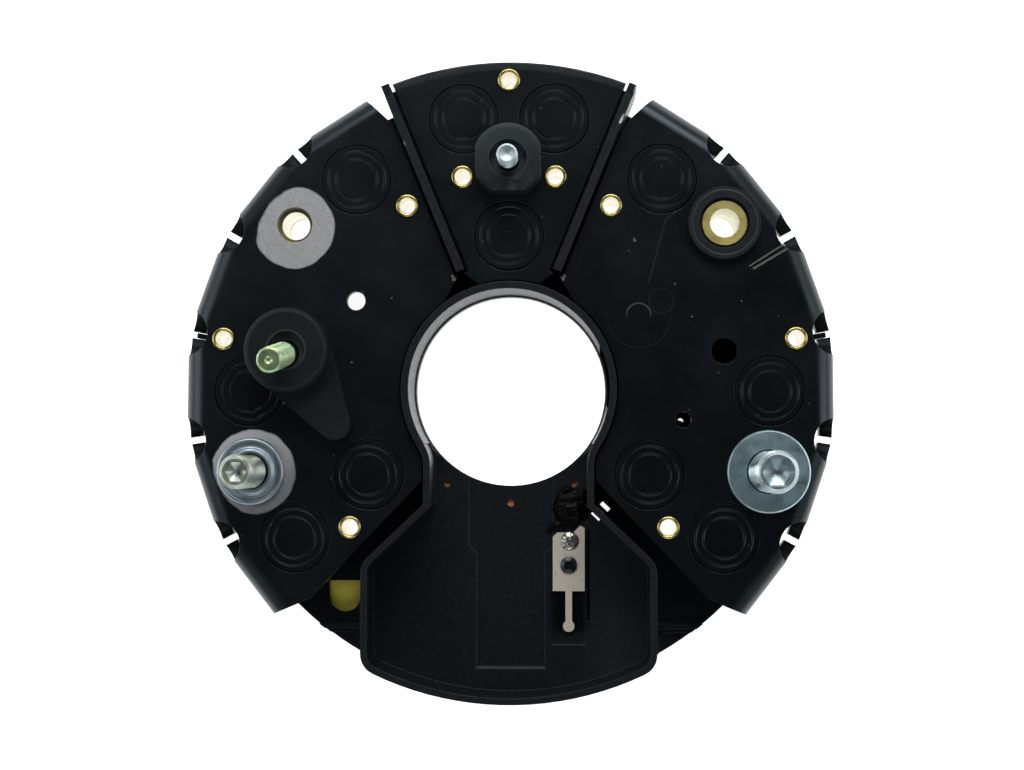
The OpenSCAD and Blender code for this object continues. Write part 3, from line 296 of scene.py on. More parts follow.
def black_paint(name, edge, marks=False, rim=False, gloss=0.22, shine=0.36, skirt=False, ring=None):
    """Clouded black paint with specks, painted paler towards the top left as painted light; as asked, with
    bench marks, a painted highlight on the rim, a painted sheen on the bends or a painted highlight ring.
    """
    g = Graph(name)
    cloud = g.noise(70, 4.0, 0.6)
    peel = g.noise(900, 2.0)
    color = g.mix(cloud, (0.0014, 0.0020, 0.0024), (0.0036, 0.0047, 0.0054))
    # painted light: the paint is painted paler towards the top left, the side the light falls from
    lit_upper_side = g.beside((-8, 40, FRONT), (-0.45, 0.9, 0), 45.0)
    color = g.mix(g.times(lit_upper_side, 0.55), color, (0.0105, 0.0122, 0.0132))
    rough = g.remap(cloud, 0.3, 0.7, gloss, gloss + 0.11)
    color = g.mix(g.specks(7.0, 0.17, 0.14), color, (0.10, 0.10, 0.10))
    color = g.mix(g.specks(3.1, 0.1, 0.12), color, (0.022, 0.022, 0.022))
    height, metal = peel, 0.0
    if marks:
        color, rough, metal, height = bench_marks(g, color, rough, peel)
    if rim:
        # painted highlight: a pale band along the wedge's bent rim at r 76.3 mm and a paler thin line at its
        # edge, broken up by noise
        rim_highlight_breakup = g.remap(g.noise(150, 4.0, 0.7), 0.3, 0.6, 0.4, 1.0)
        edge_highlight_breakup = g.remap(g.noise(260, 4.0, 0.7), 0.4, 0.55)
        color = g.mix(g.times(g.arc((0, 0, FRONT), 76.3, 1.2), rim_highlight_breakup), color, (0.022, 0.026, 0.027))
        color = g.mix(g.times(g.arc((0, 0, FRONT), 77.0, 0.3), edge_highlight_breakup), color, (0.06, 0.062, 0.06))
    normal = g.relief(height, 0.02, 0.55, edge)
    if skirt:
        facing = g.add("ShaderNodeSeparateXYZ")
        g.put(facing.inputs[0], g.add("ShaderNodeNewGeometry").outputs["Normal"])
        up = facing.outputs[2]
        patchy = g.remap(g.noise(120, 3.0, 0.6), 0.3, 0.65, 0.35, 1.0)
        # painted sheen: surfaces that tilt away from the front face, short of upright, are painted paler teal
        # in patches, as the bends catch the light
        bend = g.times(g.remap(up, 0.999, 0.93), patchy, g.remap(up, 0.05, 0.4))
        color = g.mix(bend, color, (0.0105, 0.0145, 0.0152))
    if ring:
        # painted highlight: a pale arc, or part of one, round the given centre
        color = g.mix(g.arc(*ring), color, (0.09, 0.095, 0.095))
    level = g.remap(g.height_mm(), 12.0, 16.5, 0.06, shine) if skirt else shine
    return g.finish(color, rough, normal, metal, IOR=1.5, Specular_IOR_Level=level, Specular_Tint=BLUISH)


def plastic(name, dark, pale, rough, grain=1100, edge=0.3, scuff=0.0, specular=0.3, rings=(), hollow=None,
            lift=None):
    """Moulded plastic: rings are (centre, radius, width), painted paler and raised; hollow (centre, radius,
    colour) is painted paler, painted light against the shade of a recess, and lift (point, normal, edge,
    colour) is painted paler on one side, painted light."""
    g = Graph(name)
    cloud = g.noise(90, 4.0, 0.62)
    fine = g.noise(grain, 3.0, 0.6)
    color = g.mix(g.remap(cloud, 0.3, 0.7), dark, pale)
    if scuff:
        marks = g.times(g.remap(g.noise(420, 5.0, 0.75), 0.56, 0.72), scuff)
        color = g.mix(marks, color, [4.0 * c for c in pale])
    if lift:
        # painted light: paler on the side the light falls on
        color = g.mix(g.beside(*lift[:3]), color, lift[3])
    if hollow:
        # painted light: a recess painted paler against its shade
        color = g.mix(g.spot(hollow[0], hollow[1], 0.25), color, hollow[2])
    height = fine
    for centre, r, width in rings:
        ring = g.arc(centre, r, width)
        color = g.mix(g.times(ring, 0.6), color, [3.0 * c for c in pale])
        height = g.math("ADD", height, g.times(ring, 3.0))
    color = g.mix(g.specks(5.0, 0.14, 0.1), color, (0.07, 0.07, 0.07))
    normal = g.relief(height, 0.025, 0.6, edge)
    return g.finish(color, g.remap(fine, 0.3, 0.7, rough - 0.07, rough + 0.07), normal, IOR=1.5,
                    Specular_IOR_Level=specular, Specular_Tint=BLUISH)


def carrier_black():
    """The moulding, with painted light and shade by place, the panel's outline painted as highlight lines, and
    a painted highlight along a rib's edge and a nub on its ribs.
    """
    g = Graph("carrier_plastic")
    z = g.height_mm()
    cloud = g.noise(90, 4.0, 0.62)
    fine = g.noise(1100, 3.0, 0.6)
    color = g.mix(g.remap(cloud, 0.3, 0.7), (0.0012, 0.0017, 0.0021), (0.0034, 0.0043, 0.005))
    smear = g.times(g.remap(g.noise(210, 5.0, 0.7), 0.57, 0.75), 0.5)
    color = g.mix(smear, color, (0.010, 0.0115, 0.0125))

    # Painted light and shade: the bay's floor is painted paler against the shade of its walls, most of all on
    # the right, the tops that stand above the heat sinks paler as lit, the pocket and a band along the strip's
    # right side dark as shade and the strip's shadow
    low = g.times(g.remap(z, 5.0, 4.0), g.remap(z, 2.0, 2.4))
    bay = g.times(g.box((-34, -72), (34, -19), 2.0), low)
    color = g.mix(bay, color, (0.0042, 0.0055, 0.0063))
    bay_right = g.times(bay, g.beside((20, -50, 4), (1, 0, 0), 5.0))
    color = g.mix(bay_right, color, (0.0105, 0.013, 0.0145))
    lit_rib_tops = g.times(g.remap(z, 19.8, 20.6), 0.6)
    color = g.mix(lit_rib_tops, color, (0.0085, 0.0102, 0.0112))
    pocket = g.times(g.box((9.8, -58.2), (18.2, -47.6), 1.3), low)
    strip_shadow = g.times(g.box((18.15, -55.3), (19.2, -33.6), 0.35), low)
    color = g.mix(strip_shadow, color, (0.0007, 0.0008, 0.0008))
    color = g.mix(pocket, color, (0.0007, 0.0009, 0.001))

    # The sunk panel's outline, painted as pale highlight lines along its step edges, widest and palest at the
    # foot
    side = [(PANEL_UP, -PANEL_TOP), (PANEL_UP, -PANEL_STEP), (PANEL_LOW, -PANEL_STEP - PANEL_UP + PANEL_LOW),
            (PANEL_LOW, -PANEL_END)]
    panel_left = g.stroke([(-x, y, PANEL_Z) for x, y in side], 0.42)
    panel_right = g.stroke([(x, y, PANEL_Z) for x, y in reversed(side)], 0.36)
    panel_foot = g.line((-PANEL_LOW, -PANEL_END, PANEL_Z), (PANEL_LOW, -PANEL_END, PANEL_Z), 0.62)
    color = g.mix(g.times(g.most([panel_left, panel_right]), 0.6), color, (0.02, 0.024, 0.026))
    color = g.mix(g.times(panel_foot, 0.75), color, (0.032, 0.038, 0.04))

    # The collar: its wall on the right painted dark as shade, and a pale step at its foot, a painted highlight
    inside = g.remap(g.vec("LENGTH", g.plan(), out="Value"), 23.72 * MM, 23.6 * MM)
    to_right = g.remap(g.along((1, 0.12, 0)), 19.5 * MM, 22.6 * MM)
    shaded_wall = g.times(inside, to_right, g.remap(z, 3.6, 4.2))
    lit_ledge = g.times(inside, low, g.beside((0, -15, 3), (0, 1, 0), 1.0))
    color = g.mix(shaded_wall, color, (0.0006, 0.0008, 0.0009))
    color = g.mix(lit_ledge, color, (0.045, 0.05, 0.052))
    dull = g.most([g.times(g.most([pocket, strip_shadow]), 0.6), shaded_wall])

    # painted highlight: a pale line along the right rib's outer top edge
    rib_edge_highlight = g.line((30.1, 71.2, 20.0), (26.2, 62.5, 21.5), 0.4)
    nub = g.spot((-24.9, 57.6, 21.5), 0.6, 0.25)
    color = g.mix(rib_edge_highlight, color, (0.42, 0.5, 0.54))
    color = g.mix(nub, color, (0.12, 0.14, 0.15))
    color = g.mix(g.specks(5.0, 0.14, 0.1), color, (0.06, 0.06, 0.06))
    normal = g.relief(fine, 0.025, 0.6, 0.28)
    return g.finish(color, g.remap(fine, 0.3, 0.7, 0.3, 0.44), normal, IOR=1.5,
                    Specular_IOR_Level=g.remap(dull, 0.0, 1.0, 0.36, 0.0), Specular_Tint=BLUISH)


def plated(name, base, tint, rough, stain=0.5, edge=0.12, brushed=None, dirt=0.45, depth=0.012, metal=1.0,
           pale_under=None):
    """Stained metal; brushed is the centre of turned rings, and bores are painted near white under the height
    pale_under, painted light where the bright floor shows through.
    """
    g = Graph(name)
    cloud = g.noise(260, 4.0, 0.65)
    fine = g.noise(700, 3.0, 0.6)
    color = g.mix(g.remap(cloud, 0.35, 0.68, 0.0, stain), base, tint)
    grime = g.remap(g.noise(520, 5.0, 0.7), 0.58, 0.74, 0.0, dirt)
    color = g.mix(grime, color, [0.35 * c for c in tint])
    if pale_under:
        z = g.height_mm()
        # painted light: the bore walls are painted near white, as lit through the hole
        bore = g.times(g.remap(z, pale_under + 0.1, pale_under - 0.1), g.remap(z, 1.2, 1.6))
        color = g.mix(bore, color, (0.98, 0.95, 0.82))
    height = fine
    if brushed:
        d = g.vec("DISTANCE", g.plan(), (brushed[0] * MM, brushed[1] * MM, 0), "Value")
        wander = g.times(g.noise(400, 2.0), 0.0012)
        rings = g.math("SINE", g.times(g.math("ADD", d, wander), 2 * math.pi / (0.4 * MM)))
        height = g.math("ADD", fine, g.times(rings, 0.3))
    normal = g.relief(height, depth, 0.5, edge)
    return g.finish(color, g.remap(cloud, 0.3, 0.7, rough - 0.08, rough + 0.1), normal, metal)


def bar_metal(name, bright):
    """Brass of the conductor bars; the tongue that shows at the front is painted full bright yellow and not
    metallic, a lit copy of the brass: painted light.
    """
    g = Graph(name)
    cloud = g.noise(300, 4.0, 0.6)
    fine = g.noise(700, 3.0, 0.6)
    color = g.mix(g.remap(cloud, 0.3, 0.7), (0.60, 0.47, 0.17), (0.42, 0.31, 0.1))
    color = g.mix(g.remap(g.noise(520, 5.0, 0.7), 0.58, 0.74, 0.0, 0.4), color, (0.12, 0.09, 0.04))
    # painted light: the tongue is painted bright and made non-metallic so that it reads lit in the shade under
    # the sink
    tongue = g.spot(bright, 9.0, 1.0)
    color = g.mix(tongue, color, g.mix(cloud, (1.0, 0.88, 0.14), (0.95, 0.8, 0.1)))
    normal = g.relief(fine, 0.01, 0.5, 0.12)
    return g.finish(color, g.remap(cloud, 0.3, 0.7, 0.3, 0.44), normal, g.remap(tongue, 0.0, 1.0, 1.0, 0.0))


def glossy_resin(name):
    g = Graph(name)
    lump = g.noise(700, 3.0, 0.5)
    color = g.mix(g.noise(600, 3.0), (0.0006, 0.0006, 0.0008), (0.0016, 0.0016, 0.002))
    normal = g.relief(lump, 0.03, 0.5)
    return g.finish(color, g.remap(lump, 0.3, 0.7, 0.3, 0.5), normal, IOR=1.5, Specular_IOR_Level=0.06)


paint = black_paint("sink_paint", 0.3, marks=True, skirt=True)
wedge_paint = black_paint("wedge_paint", 0.3, rim=True)
diode_paint = black_paint("diode_paint", 0.08, gloss=0.24, shine=0.2)
# The contact rivet carries a pale ring on its left side: a painted highlight.
contact_black = black_paint("contact_black", 0.2, ring=((14.0, -41.9, 4.3), 1.62, 0.16, (-0.8, 0.6, 0), 1.2))
carrier_plastic = carrier_black()
ring_plastic = plastic("ring_plastic", (0.0066, 0.0074, 0.0078), (0.0096, 0.0106, 0.0112), 0.4,
                       rings=(((*RIGHT_HOLE, 21.4), 7.6, 0.3),))
# The block's recess round its stud and its side towards the top are painted paler: painted light.
block_grey = plastic("block_grey", (0.0055, 0.0066, 0.0075), (0.013, 0.0148, 0.016), 0.55,
                     grain=800, edge=0.4, scuff=0.9, specular=0.2,
                     hollow=((*TOP_STUD, 25.0), 5.0, (0.036, 0.042, 0.047)),
                     lift=((0, 56, 27), (-0.3, 0.95, 0), 6.0, (0.026, 0.03, 0.033)))
# The boot's recess round its stud is painted paler, painted light, and the pale ring on its rounded rim is a
# painted highlight.
boot_grey = plastic("boot_grey", (0.0022, 0.0029, 0.0033), (0.0046, 0.0056, 0.0062), 0.6,
                    grain=800, edge=0.45, scuff=0.2, specular=0.2, rings=(((*BOOT, 29.0), 8.9, 0.3),),
                    hollow=((*BOOT, 27.5), 4.9, (0.03, 0.034, 0.038)))
# The bores of the rivets and bushes are painted near white below the given heights: painted light.
rivet_brass = plated("rivet_brass", (0.56, 0.45, 0.16), (0.44, 0.33, 0.09), 0.24,
                     edge=0.05, dirt=0.25, depth=0.004, pale_under=18.9)
bush_brass = plated("bush_brass", (0.58, 0.5, 0.185), (0.49, 0.4, 0.125), 0.42,
                    dirt=0.12, depth=0.006, pale_under=20.2)
# A darker copy of the bush brass for the bush sunk deeper in its hole: painted shade.
deep_shaded_brass = plated("deep_shaded_brass", (0.46, 0.38, 0.14), (0.32, 0.25, 0.075), 0.3, stain=0.6,
                    dirt=0.3, depth=0.006, pale_under=15.8)
yellow_zinc = plated("yellow_zinc", (0.37, 0.43, 0.43), (0.33, 0.31, 0.2), 0.36, stain=0.8)
green_zinc = plated("green_zinc", (0.33, 0.52, 0.36), (0.42, 0.41, 0.16), 0.36, stain=0.8)
stud_zinc = plated("stud_zinc", (0.44, 0.53, 0.55), (0.34, 0.41, 0.44), 0.36)
# A paler, rougher copy of stud_zinc for the D+ stud, so that its tip reads lit: painted light.
lit_stud_zinc = plated("lit_stud_zinc", (0.52, 0.6, 0.62), (0.42, 0.5, 0.52), 0.44, dirt=0.3)
minus_washer_zinc = plated("minus_washer_zinc", (0.35, 0.42, 0.465), (0.27, 0.31, 0.355), 0.42,
                           brushed=(-60.78, -19.4))
plus_washer_zinc = plated("plus_washer_zinc", (0.47, 0.64, 0.68), (0.34, 0.44, 0.48), 0.34, stain=0.7,
                          brushed=(60.78, -19.4), depth=0.02)
contact_tin = plated("contact_tin", (0.66, 0.6, 0.5), (0.52, 0.46, 0.36), 0.5, stain=0.6, metal=0.5)
weld_silver = plated("weld_silver", (0.5, 0.51, 0.48), (0.34, 0.33, 0.29), 0.26, stain=0.6)
resin = glossy_resin("resin")
bar_brass = bar_metal("bar_brass", (-40.5, -51.5, 2.2))
bar_copper = plated("bar_copper", (0.72, 0.27, 0.13), (0.42, 0.13, 0.06), 0.42, metal=0.5)

MATERIALS = {  # of the CAD nodes; the diodes take diode_paint
    "carrier": carrier_plastic,
    "negative_heat_sink": paint, "positive_heat_sink": paint, "exciter_heat_sink": wedge_paint,
    "tubular_rivets": rivet_brass,
    "b_minus_stud": yellow_zinc, "b_minus_washer": minus_washer_zinc,
    "b_plus_stud": stud_zinc, "b_plus_washer": plus_washer_zinc,
    "d_plus_stud": lit_stud_zinc, "d_plus_insulator": block_grey,
    "w_stud": green_zinc, "w_insulator": boot_grey,
    "negative_bush": deep_shaded_brass, "positive_bush": bush_brass, "bush_insulator": ring_plastic,
    "contact_strip": contact_tin, "contact_rivet": contact_black, "sealing_resin": resin,
    "phase_bar_u": bar_brass, "phase_bar_v": bar_brass, "phase_bar_w": bar_brass, "star_bar": bar_copper,
}
for node_name, node_object in cad_nodes.items():
    finish_material = MATERIALS.get(node_name, diode_paint)
    slots = node_object.material_slots
    if not slots:
        node_object.data.materials.append(finish_material)
    for s in slots:
        s.material = finish_material


# Pieces in mesh code, in mm

def piece(name, bm, material, slot, *stands_for, sharp=35):
    """A mesh in mm turned into a piece of the object."""
    bmesh.ops.remove_doubles(bm, verts=bm.verts, dist=1e-4)
    bmesh.ops.recalc_face_normals(bm, faces=bm.faces)
    bm.transform(Matrix.Scale(MM, 4))
    mesh = bpy.data.meshes.new(name)
    bm.to_mesh(mesh)
    bm.free()
    mesh.materials.append(material)
    obj = bpy.data.objects.new(name, mesh)
    bpy.context.scene.collection.objects.link(obj)
    mesh.shade_smooth()
    mesh.set_sharp_from_angle(angle=math.radians(sharp))
    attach(obj, "root")
    if stands_for:
        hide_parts(*stands_for)


def skin(bm, rings, place, closed=False):
    """Joins rings of points in the piece's own axis frame, with capped ends or closed on itself."""
    made = [[bm.verts.new(place @ Vector(p)) for p in ring] for ring in rings]
    n = len(rings[0])
    pairs = list(zip(made, made[1:]))
    if closed:
        pairs.append((made[-1], made[0]))
    for a, b in pairs:
        for i in range(n):
            j = (i + 1) % n
            bm.faces.new((a[i], a[j], b[j], b[i]))
    if not closed:
        bm.faces.new(made[0][::-1])
        bm.faces.new(made[-1])


def at(x, y):
    return Matrix.Translation((x, y, 0))


def circle(r, z, n):
    return [(r * math.cos(2 * math.pi * i / n), r * math.sin(2 * math.pi * i / n), z) for i in range(n)]


def lathe(profile, n):
    """Circles along a profile of (radius, height)."""
    return [circle(r, z, n) for r, z in profile]


def hexagon(across, z, n):
    """n points round a hexagon, n a multiple of 6."""
    r = across / math.sqrt(3)
    points = []
    for i in range(n):
        k, f = divmod(6 * i / n, 1)
        a, b = math.radians(60 * k), math.radians(60 * (k + 1))
        x = r * ((1 - f) * math.cos(a) + f * math.cos(b))
        y = r * ((1 - f) * math.sin(a) + f * math.sin(b))
        points.append((x, y, z))
    return points


def thread_rings(r, pitch, z0, z1, chamfer):
    """Rows of a right-hand thread, cut back by a chamfer at the tip and run out at its start."""
    rows_a_turn = 6
    depth = 0.61 * pitch
    count = int(round((z1 - z0) / pitch * rows_a_turn))
    made = []
    for k in range(count + 1):
        z = z0 + (z1 - z0) * k / count
        cone = r - max(0.0, z - (z1 - chamfer))
        ring = []
        for i in range(ROUND):
            a = 2 * math.pi * i / ROUND
            phase = (z / pitch - i / ROUND) % 1.0
            wave = abs(2 * phase - 1)
            cut = min(1.0, max(0.0, (wave - 0.14) / 0.72))  # flat crests and roots
            run_out = min(1.0, 0.35 + (z - z0) / (1.2 * pitch))
            rr = min(cone, r - depth * cut * run_out)
            ring.append((rr * math.cos(a), rr * math.sin(a), z))
        made.append(ring)
    return made


def stud(name, node, material, slot, at_xy, d, pitch, neck, z_thread, z_tip, chamfer, head, socket=None):
    """A stud on its round head (diameter, low, high), with a plain tip or a hexagon socket (across, depth)."""
    bm = bmesh.new()
    head_d, head_low, head_high = head
    seat = head_high - HAIR
    rings = lathe([(head_d / 2 - 0.4, head_low), (head_d / 2, head_low + 0.4), (head_d / 2, seat),
                   (neck / 2, seat), (neck / 2, z_thread - HAIR)], ROUND)
    rings += thread_rings(d / 2, pitch, z_thread, z_tip, chamfer)
    if socket:
        across, depth = socket
        bottom = z_tip - depth
        rings += [hexagon(across + 0.5, z_tip, ROUND), hexagon(across, z_tip - 0.3, ROUND),
                  hexagon(across, bottom, ROUND)]
        rings += lathe([(0.34 * across, bottom - 0.45), (0.04 * across, bottom - 1.4)], ROUND)
    else:
        rings += lathe([(0.3 * d, z_tip - HAIR), (0.24 * d, z_tip - 0.14), (0.05 * d, z_tip - 0.34)], ROUND)
    skin(bm, rings, at(*at_xy))
    piece(name, bm, material, slot, node)


def leaning_stud():
    """The phase stud on its link, with the pin that goes down to the bar."""
    boot = Vector((*BOOT, LINK_Z))
    tail = Vector((*TAIL, LINK_Z))
    lean, heading = math.radians(7.5), math.radians(-113)
    axis = Matrix.Translation(boot) @ Matrix.Rotation(heading, 4, "Z") @ Matrix.Rotation(lean, 4, "Y")
    bm = bmesh.new()
    rings = lathe([(2.65, 0.7), (2.65, 9.78)], ROUND) + thread_rings(2.95, 1.0, 9.8, 26.98, 0.5)
    rings += lathe([(2.1, 26.97), (0.95, 26.9), (0.6, 26.6), (0.1, 26.5)], ROUND)
    skin(bm, rings, axis)
    # link: a strap with a wide and a narrow round end
    d = (tail - boot).normalized()
    side = Vector((-d.y, d.x, 0))
    outline = []
    for centre, r, start in ((boot, 4.9, math.pi / 2), (tail, 1.95, -math.pi / 2)):
        for k in range(13):
            a = start + math.pi * k / 12
            outline.append(centre + r * (math.cos(a) * d + math.sin(a) * side))
    low = [bm.verts.new(p) for p in outline]
    high = [bm.verts.new(p + Vector((0, 0, 1.4))) for p in outline]
    count = len(outline)
    for i in range(count):
        j = (i + 1) % count
        bm.faces.new((low[i], low[j], high[j], high[i]))
    bm.faces.new(low[::-1])
    bm.faces.new(high)
    skin(bm, lathe([(0.9, 0.4), (1.1, 0.6), (1.1, LINK_Z)], 24), at(*TAIL))
    piece("w_threaded_stud", bm, green_zinc, "green_zinc", "w_stud")


def dished_washer():
    """The left washer: a rolled rim round a dish, and a raised land at the stud."""
    profile = [
        (4.2, 19.0), (7.75, 19.0), (7.95, 19.15), (8.0, 19.5), (7.96, 20.05), (7.8, 20.4), (7.45, 20.58),
        (7.05, 20.54), (6.75, 20.3), (6.5, 20.05), (6.2, 19.94), (5.75, 19.95), (5.5, 20.1), (5.3, 20.42),
        (5.05, 20.56), (4.6, 20.58), (4.3, 20.5), (4.2, 20.3),
    ]
    bm = bmesh.new()
    skin(bm, lathe(profile, 72), at(-STUD[0], STUD[1]), closed=True)
    piece("b_minus_dished_washer", bm, minus_washer_zinc, "washer_zinc", "b_minus_washer", sharp=60)


def rolled_rivets():
    """Hollow rivets with their ends rolled over, front and back."""
    half = [(24.0, 43.29), (67.36, 11.88), (37.36, -32.47), (10.95, 50.106)]
    spots = half + [(-x, y) for x, y in half] + [(0.0, 73.0)]
    bore, shank, lip_r = 2.18, 2.6, 2.3
    lip_wide, lip_high = 0.39, 0.41
    turn = [math.pi * k / 8 for k in range(9)]
    top = [(lip_r + lip_wide * math.cos(a), 19.08 + lip_high * math.sin(a)) for a in turn]
    low = [(lip_r - lip_wide * math.cos(a), 0.82 - lip_high * math.sin(a)) for a in turn]
    profile = [(bore, 0.9), (bore, 19.0), (shank, 19.01)] + top + low + [(shank, 0.89)]
    bm = bmesh.new()
    for x, y in spots:
        skin(bm, lathe(profile, 40), at(x, y), closed=True)
    piece("rolled_rivets", bm, rivet_brass, "rivet_brass", "tubular_rivets", sharp=50)


def solder_joints():
    """A fillet of solder round each lead where it meets its bar, on the back."""
    right = [(35.97, 49.51), (61.20, -0.43), (50.31, -34.84), (32.98, -20.05)]
    spots = right + [(-x, y) for x, y in right] + [(-10.68, 63.81), (10.68, 63.81), (0.0, 36.1), TAIL]
    profile = ((1.55, 0.79), (1.42, 0.66), (1.2, 0.53), (0.95, 0.38), (0.6, 0.28), (0.2, 0.24))
    bm = bmesh.new()
    for k, (x, y) in enumerate(spots):
        grow = 1.0 + 0.06 * noise.noise(Vector((x, y, 0.3)))
        rings = [
            [(px * grow * (1 + 0.05 * noise.noise(Vector((px, py, k)))), py * grow, pz) for px, py, pz in ring]
            for ring in lathe(profile, 24)
        ]
        skin(bm, rings, at(x, y))
    piece("solder_joints", bm, contact_tin, "contact_tin")


def weld_button():
    """The pressed weld on the contact strip: a low dome with punched facets."""
    rows, n = 7, 28
    base_r, base_z, rise = 2.25, 3.88, 0.75
    bm = bmesh.new()
    rings = []
    for k in range(rows + 1):
        f = k / rows
        r = base_r * math.cos(f * math.pi / 2 * 0.93)
        z = base_z + rise * math.sin(f * math.pi / 2)
        ring = []
        for x, y, _ in circle(r, z, n):
            bump = noise.noise(Vector((1.3 * x + 3.1, 1.3 * y, 0.7)))
            swell = 1 + 0.07 * noise.noise(Vector((0.9 * x, 0.9 * y, 5.0)))
            ring.append((x * swell, y * swell, z + (0.28 * bump if 0 < k else 0.0)))
        rings.append(ring)
    skin(bm, rings, at(14.3, -36.2))
    piece("weld_button", bm, weld_silver, "contact_tin", sharp=9)


def resin_blob():
    """The sealing resin: a low lumpy patch with ripples, run out at its lower left."""
    lobes = [  # centre x, y, half widths, height
        (14.4, -28.3, 4.5, 4.6, 1.7), (17.0, -25.6, 2.0, 2.2, 1.2), (11.8, -32.4, 2.3, 1.3, 1.0),
        (9.4, -33.1, 1.2, 0.8, 0.8), (13.4, -24.6, 2.4, 1.6, 1.0),
    ]
    x0, y0, step, nx, ny = 7.6, -34.6, 0.22, 56, 58
    underside = 3.36

    def height(x, y):
        wander = 0.28 * noise.noise(Vector((0.55 * x, 0.55 * y, 2.0)))
        wander += 0.12 * noise.noise(Vector((1.7 * x, 1.7 * y, 7.0)))
        top = 0.0
        for cx, cy, rx, ry, h in lobes:
            q = ((x - cx) / rx) ** 2 + ((y - cy) / ry) ** 2 + wander
            if q < 1:
                top = max(top, h * math.sqrt(1 - max(q, 0.0)))
        if top > 0:
            ripple = 0.1 * math.sin(2.9 * y + 0.8 * math.sin(0.6 * x)) * min(1.0, top)
            lump = 0.3 * min(1.0, top) * noise.noise(Vector((0.45 * x, 0.8 * y, 4.0)))
            top = max(0.05, top + ripple + lump)
        return top

    bm = bmesh.new()
    high, low = {}, {}
    z = [[height(x0 + step * i, y0 + step * j) for j in range(ny + 1)] for i in range(nx + 1)]
    cells = [(i, j) for i in range(nx) for j in range(ny)
             if min(z[i][j], z[i + 1][j], z[i][j + 1], z[i + 1][j + 1]) > 0]
    inside = set(cells)
    for i, j in cells:
        for key in ((i, j), (i + 1, j), (i + 1, j + 1), (i, j + 1)):
            if key not in high:
                x, y = x0 + step * key[0], y0 + step * key[1]
                high[key] = bm.verts.new((x, y, BAY_FLOOR + z[key[0]][key[1]]))
                low[key] = bm.verts.new((x, y, underside))
    for i, j in cells:
        a, b, c, d = (i, j), (i + 1, j), (i + 1, j + 1), (i, j + 1)
        bm.faces.new((high[a], high[b], high[c], high[d]))
        bm.faces.new((low[d], low[c], low[b], low[a]))
        for (di, dj), p, q in (((0, -1), a, b), ((1, 0), b, c), ((0, 1), c, d), ((-1, 0), d, a)):
            if (i + di, j + dj) not in inside:
                bm.faces.new((low[p], low[q], high[q], high[p]))
    piece("resin_blob", bm, resin, "resin", "sealing_resin", sharp=180)


stud("b_minus_threaded_stud", "b_minus_stud", yellow_zinc, "yellow_zinc", (-STUD[0], STUD[1]),
     d=7.9, pitch=1.25, neck=7.3, z_thread=20.9, z_tip=43.1, chamfer=1.0,
     head=(14.0, 12.5, 16.0), socket=(4.4, 1.5))
stud("b_plus_threaded_stud", "b_plus_stud", stud_zinc, "stud_zinc", STUD,
     d=9.8, pitch=1.5, neck=9.2, z_thread=21.1, z_tip=43.3, chamfer=1.0,
     head=(14.0, 12.5, 16.0), socket=(6.0, 4.0))
stud("d_plus_threaded_stud", "d_plus_stud", lit_stud_zinc, "stud_zinc", TOP_STUD,
     d=4.9, pitch=0.8, neck=4.3, z_thread=27.3, z_tip=34.4, chamfer=0.5, head=(9.0, 13.5, 16.0))
leaning_stud()
dished_washer()
rolled_rivets()
solder_joints()
weld_button()
resin_blob()


# Floor, light and camera

def floor():
    n, radius, z = 64, 6000.0, -0.05
    bm = bmesh.new()
    centre = bm.verts.new((0, 0, z))
    rim = [bm.verts.new(p) for p in circle(radius, z, n)]
    for i in range(n):
        bm.faces.new((centre, rim[i], rim[(i + 1) % n]))
    bm.transform(Matrix.Scale(MM, 4))
    mesh = bpy.data.meshes.new("floor")
    bm.to_mesh(mesh)
    bm.free()
    g = Graph("floor_white")
    tone = g.mix(g.noise(30, 3.0), (0.84, 0.84, 0.84), (0.88, 0.88, 0.88))
    g.finish(tone, 0.9, Emission_Color=(1.0, 1.0, 1.0, 1.0), Emission_Strength=0.95)
    mesh.materials.append(g.mat)
    obj = bpy.data.objects.new("floor", mesh)
    bpy.context.scene.collection.objects.link(obj)


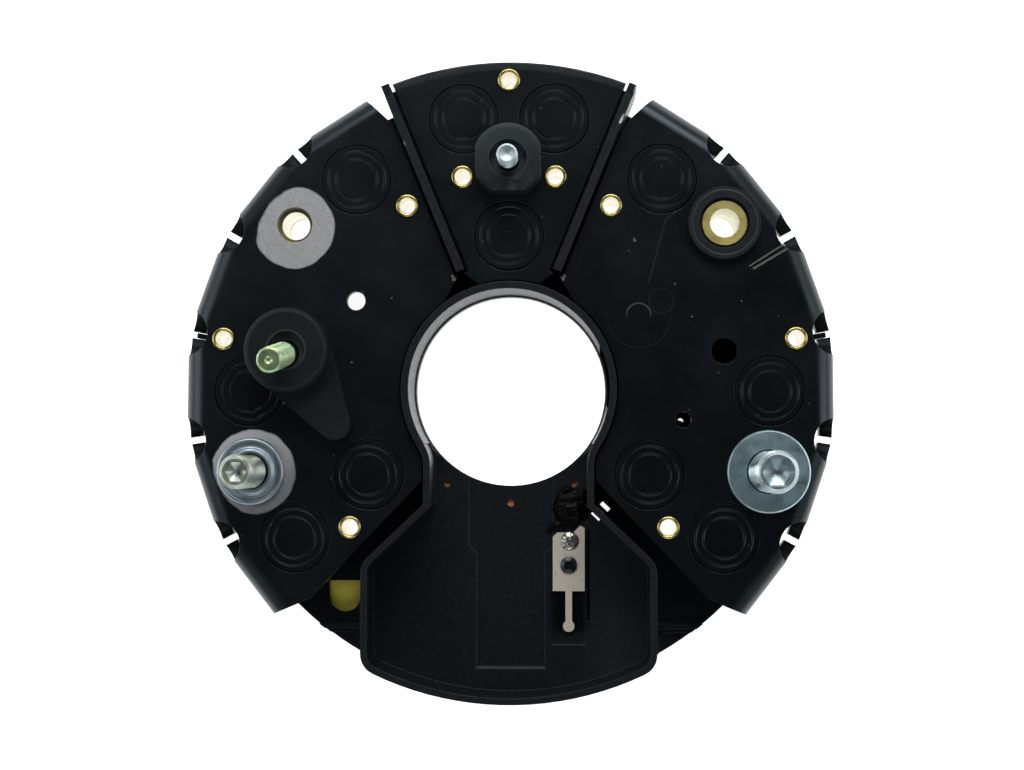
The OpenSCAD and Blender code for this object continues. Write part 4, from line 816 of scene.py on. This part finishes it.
def lamp(name, place, size, power):
    """A soft box in metres and watts, aimed at the object."""
    data = bpy.data.lights.new(name, "AREA")
    data.shape = "RECTANGLE"
    data.size, data.size_y = size
    data.energy = power
    obj = bpy.data.objects.new(name, data)
    obj.location = place
    target = Vector((0, 0, 0.02))
    obj.rotation_euler = (target - Vector(place)).to_track_quat("-Z", "Y").to_euler()
    bpy.context.scene.collection.objects.link(obj)


def surroundings():
    """A studio that is bright at the horizon and dark overhead."""
    world = bpy.data.worlds.new("studio")
    bpy.context.scene.world = world
    world.use_nodes = True
    tree = world.node_tree
    back = tree.nodes["Background"]
    co = tree.nodes.new("ShaderNodeTexCoord")
    split = tree.nodes.new("ShaderNodeSeparateXYZ")
    tree.links.new(co.outputs["Generated"], split.inputs[0])
    ramp = tree.nodes.new("ShaderNodeValToRGB")
    horizon, overhead = ramp.color_ramp.elements
    horizon.position, horizon.color = 0.0, (0.72, 0.78, 0.82, 1)
    overhead.position, overhead.color = 0.9, (0.055, 0.066, 0.074, 1)
    tree.links.new(split.outputs["Z"], ramp.inputs[0])
    tree.links.new(ramp.outputs[0], back.inputs["Color"])
    back.inputs["Strength"].default_value = 0.7


def photo_camera():
    """The camera, fitted to the photograph: its place in metres, its turn as a rotation vector."""
    focal_px, image_px, sensor = 2201.9, 1024, 36.0
    place = (0.016115, -0.018115, 0.535687)
    turn = Vector((0.0368362, 0.0297094, -0.0000165))
    data = bpy.data.cameras.new("camera")
    data.sensor_fit = "HORIZONTAL"
    data.sensor_width = sensor
    data.lens = focal_px * sensor / image_px
    data.clip_start = 0.01
    camera = bpy.data.objects.new("camera", data)
    turned = Matrix.Rotation(turn.length, 4, turn.normalized())
    camera.matrix_world = Matrix.Translation(place) @ turned
    bpy.context.scene.collection.objects.link(camera)
    bpy.context.scene.camera = camera


floor()
lamp("key", (0.05, 0.75, 0.75), (0.9, 0.5), 9.0)
lamp("left", (-0.85, 0.1, 0.55), (0.5, 0.7), 3.0)
lamp("right", (0.85, 0.1, 0.55), (0.5, 0.7), 2.4)
lamp("low", (0.0, -0.8, 0.5), (0.7, 0.3), 1.6)
surroundings()
photo_camera()
bpy.context.scene.view_settings.view_transform = "Standard"
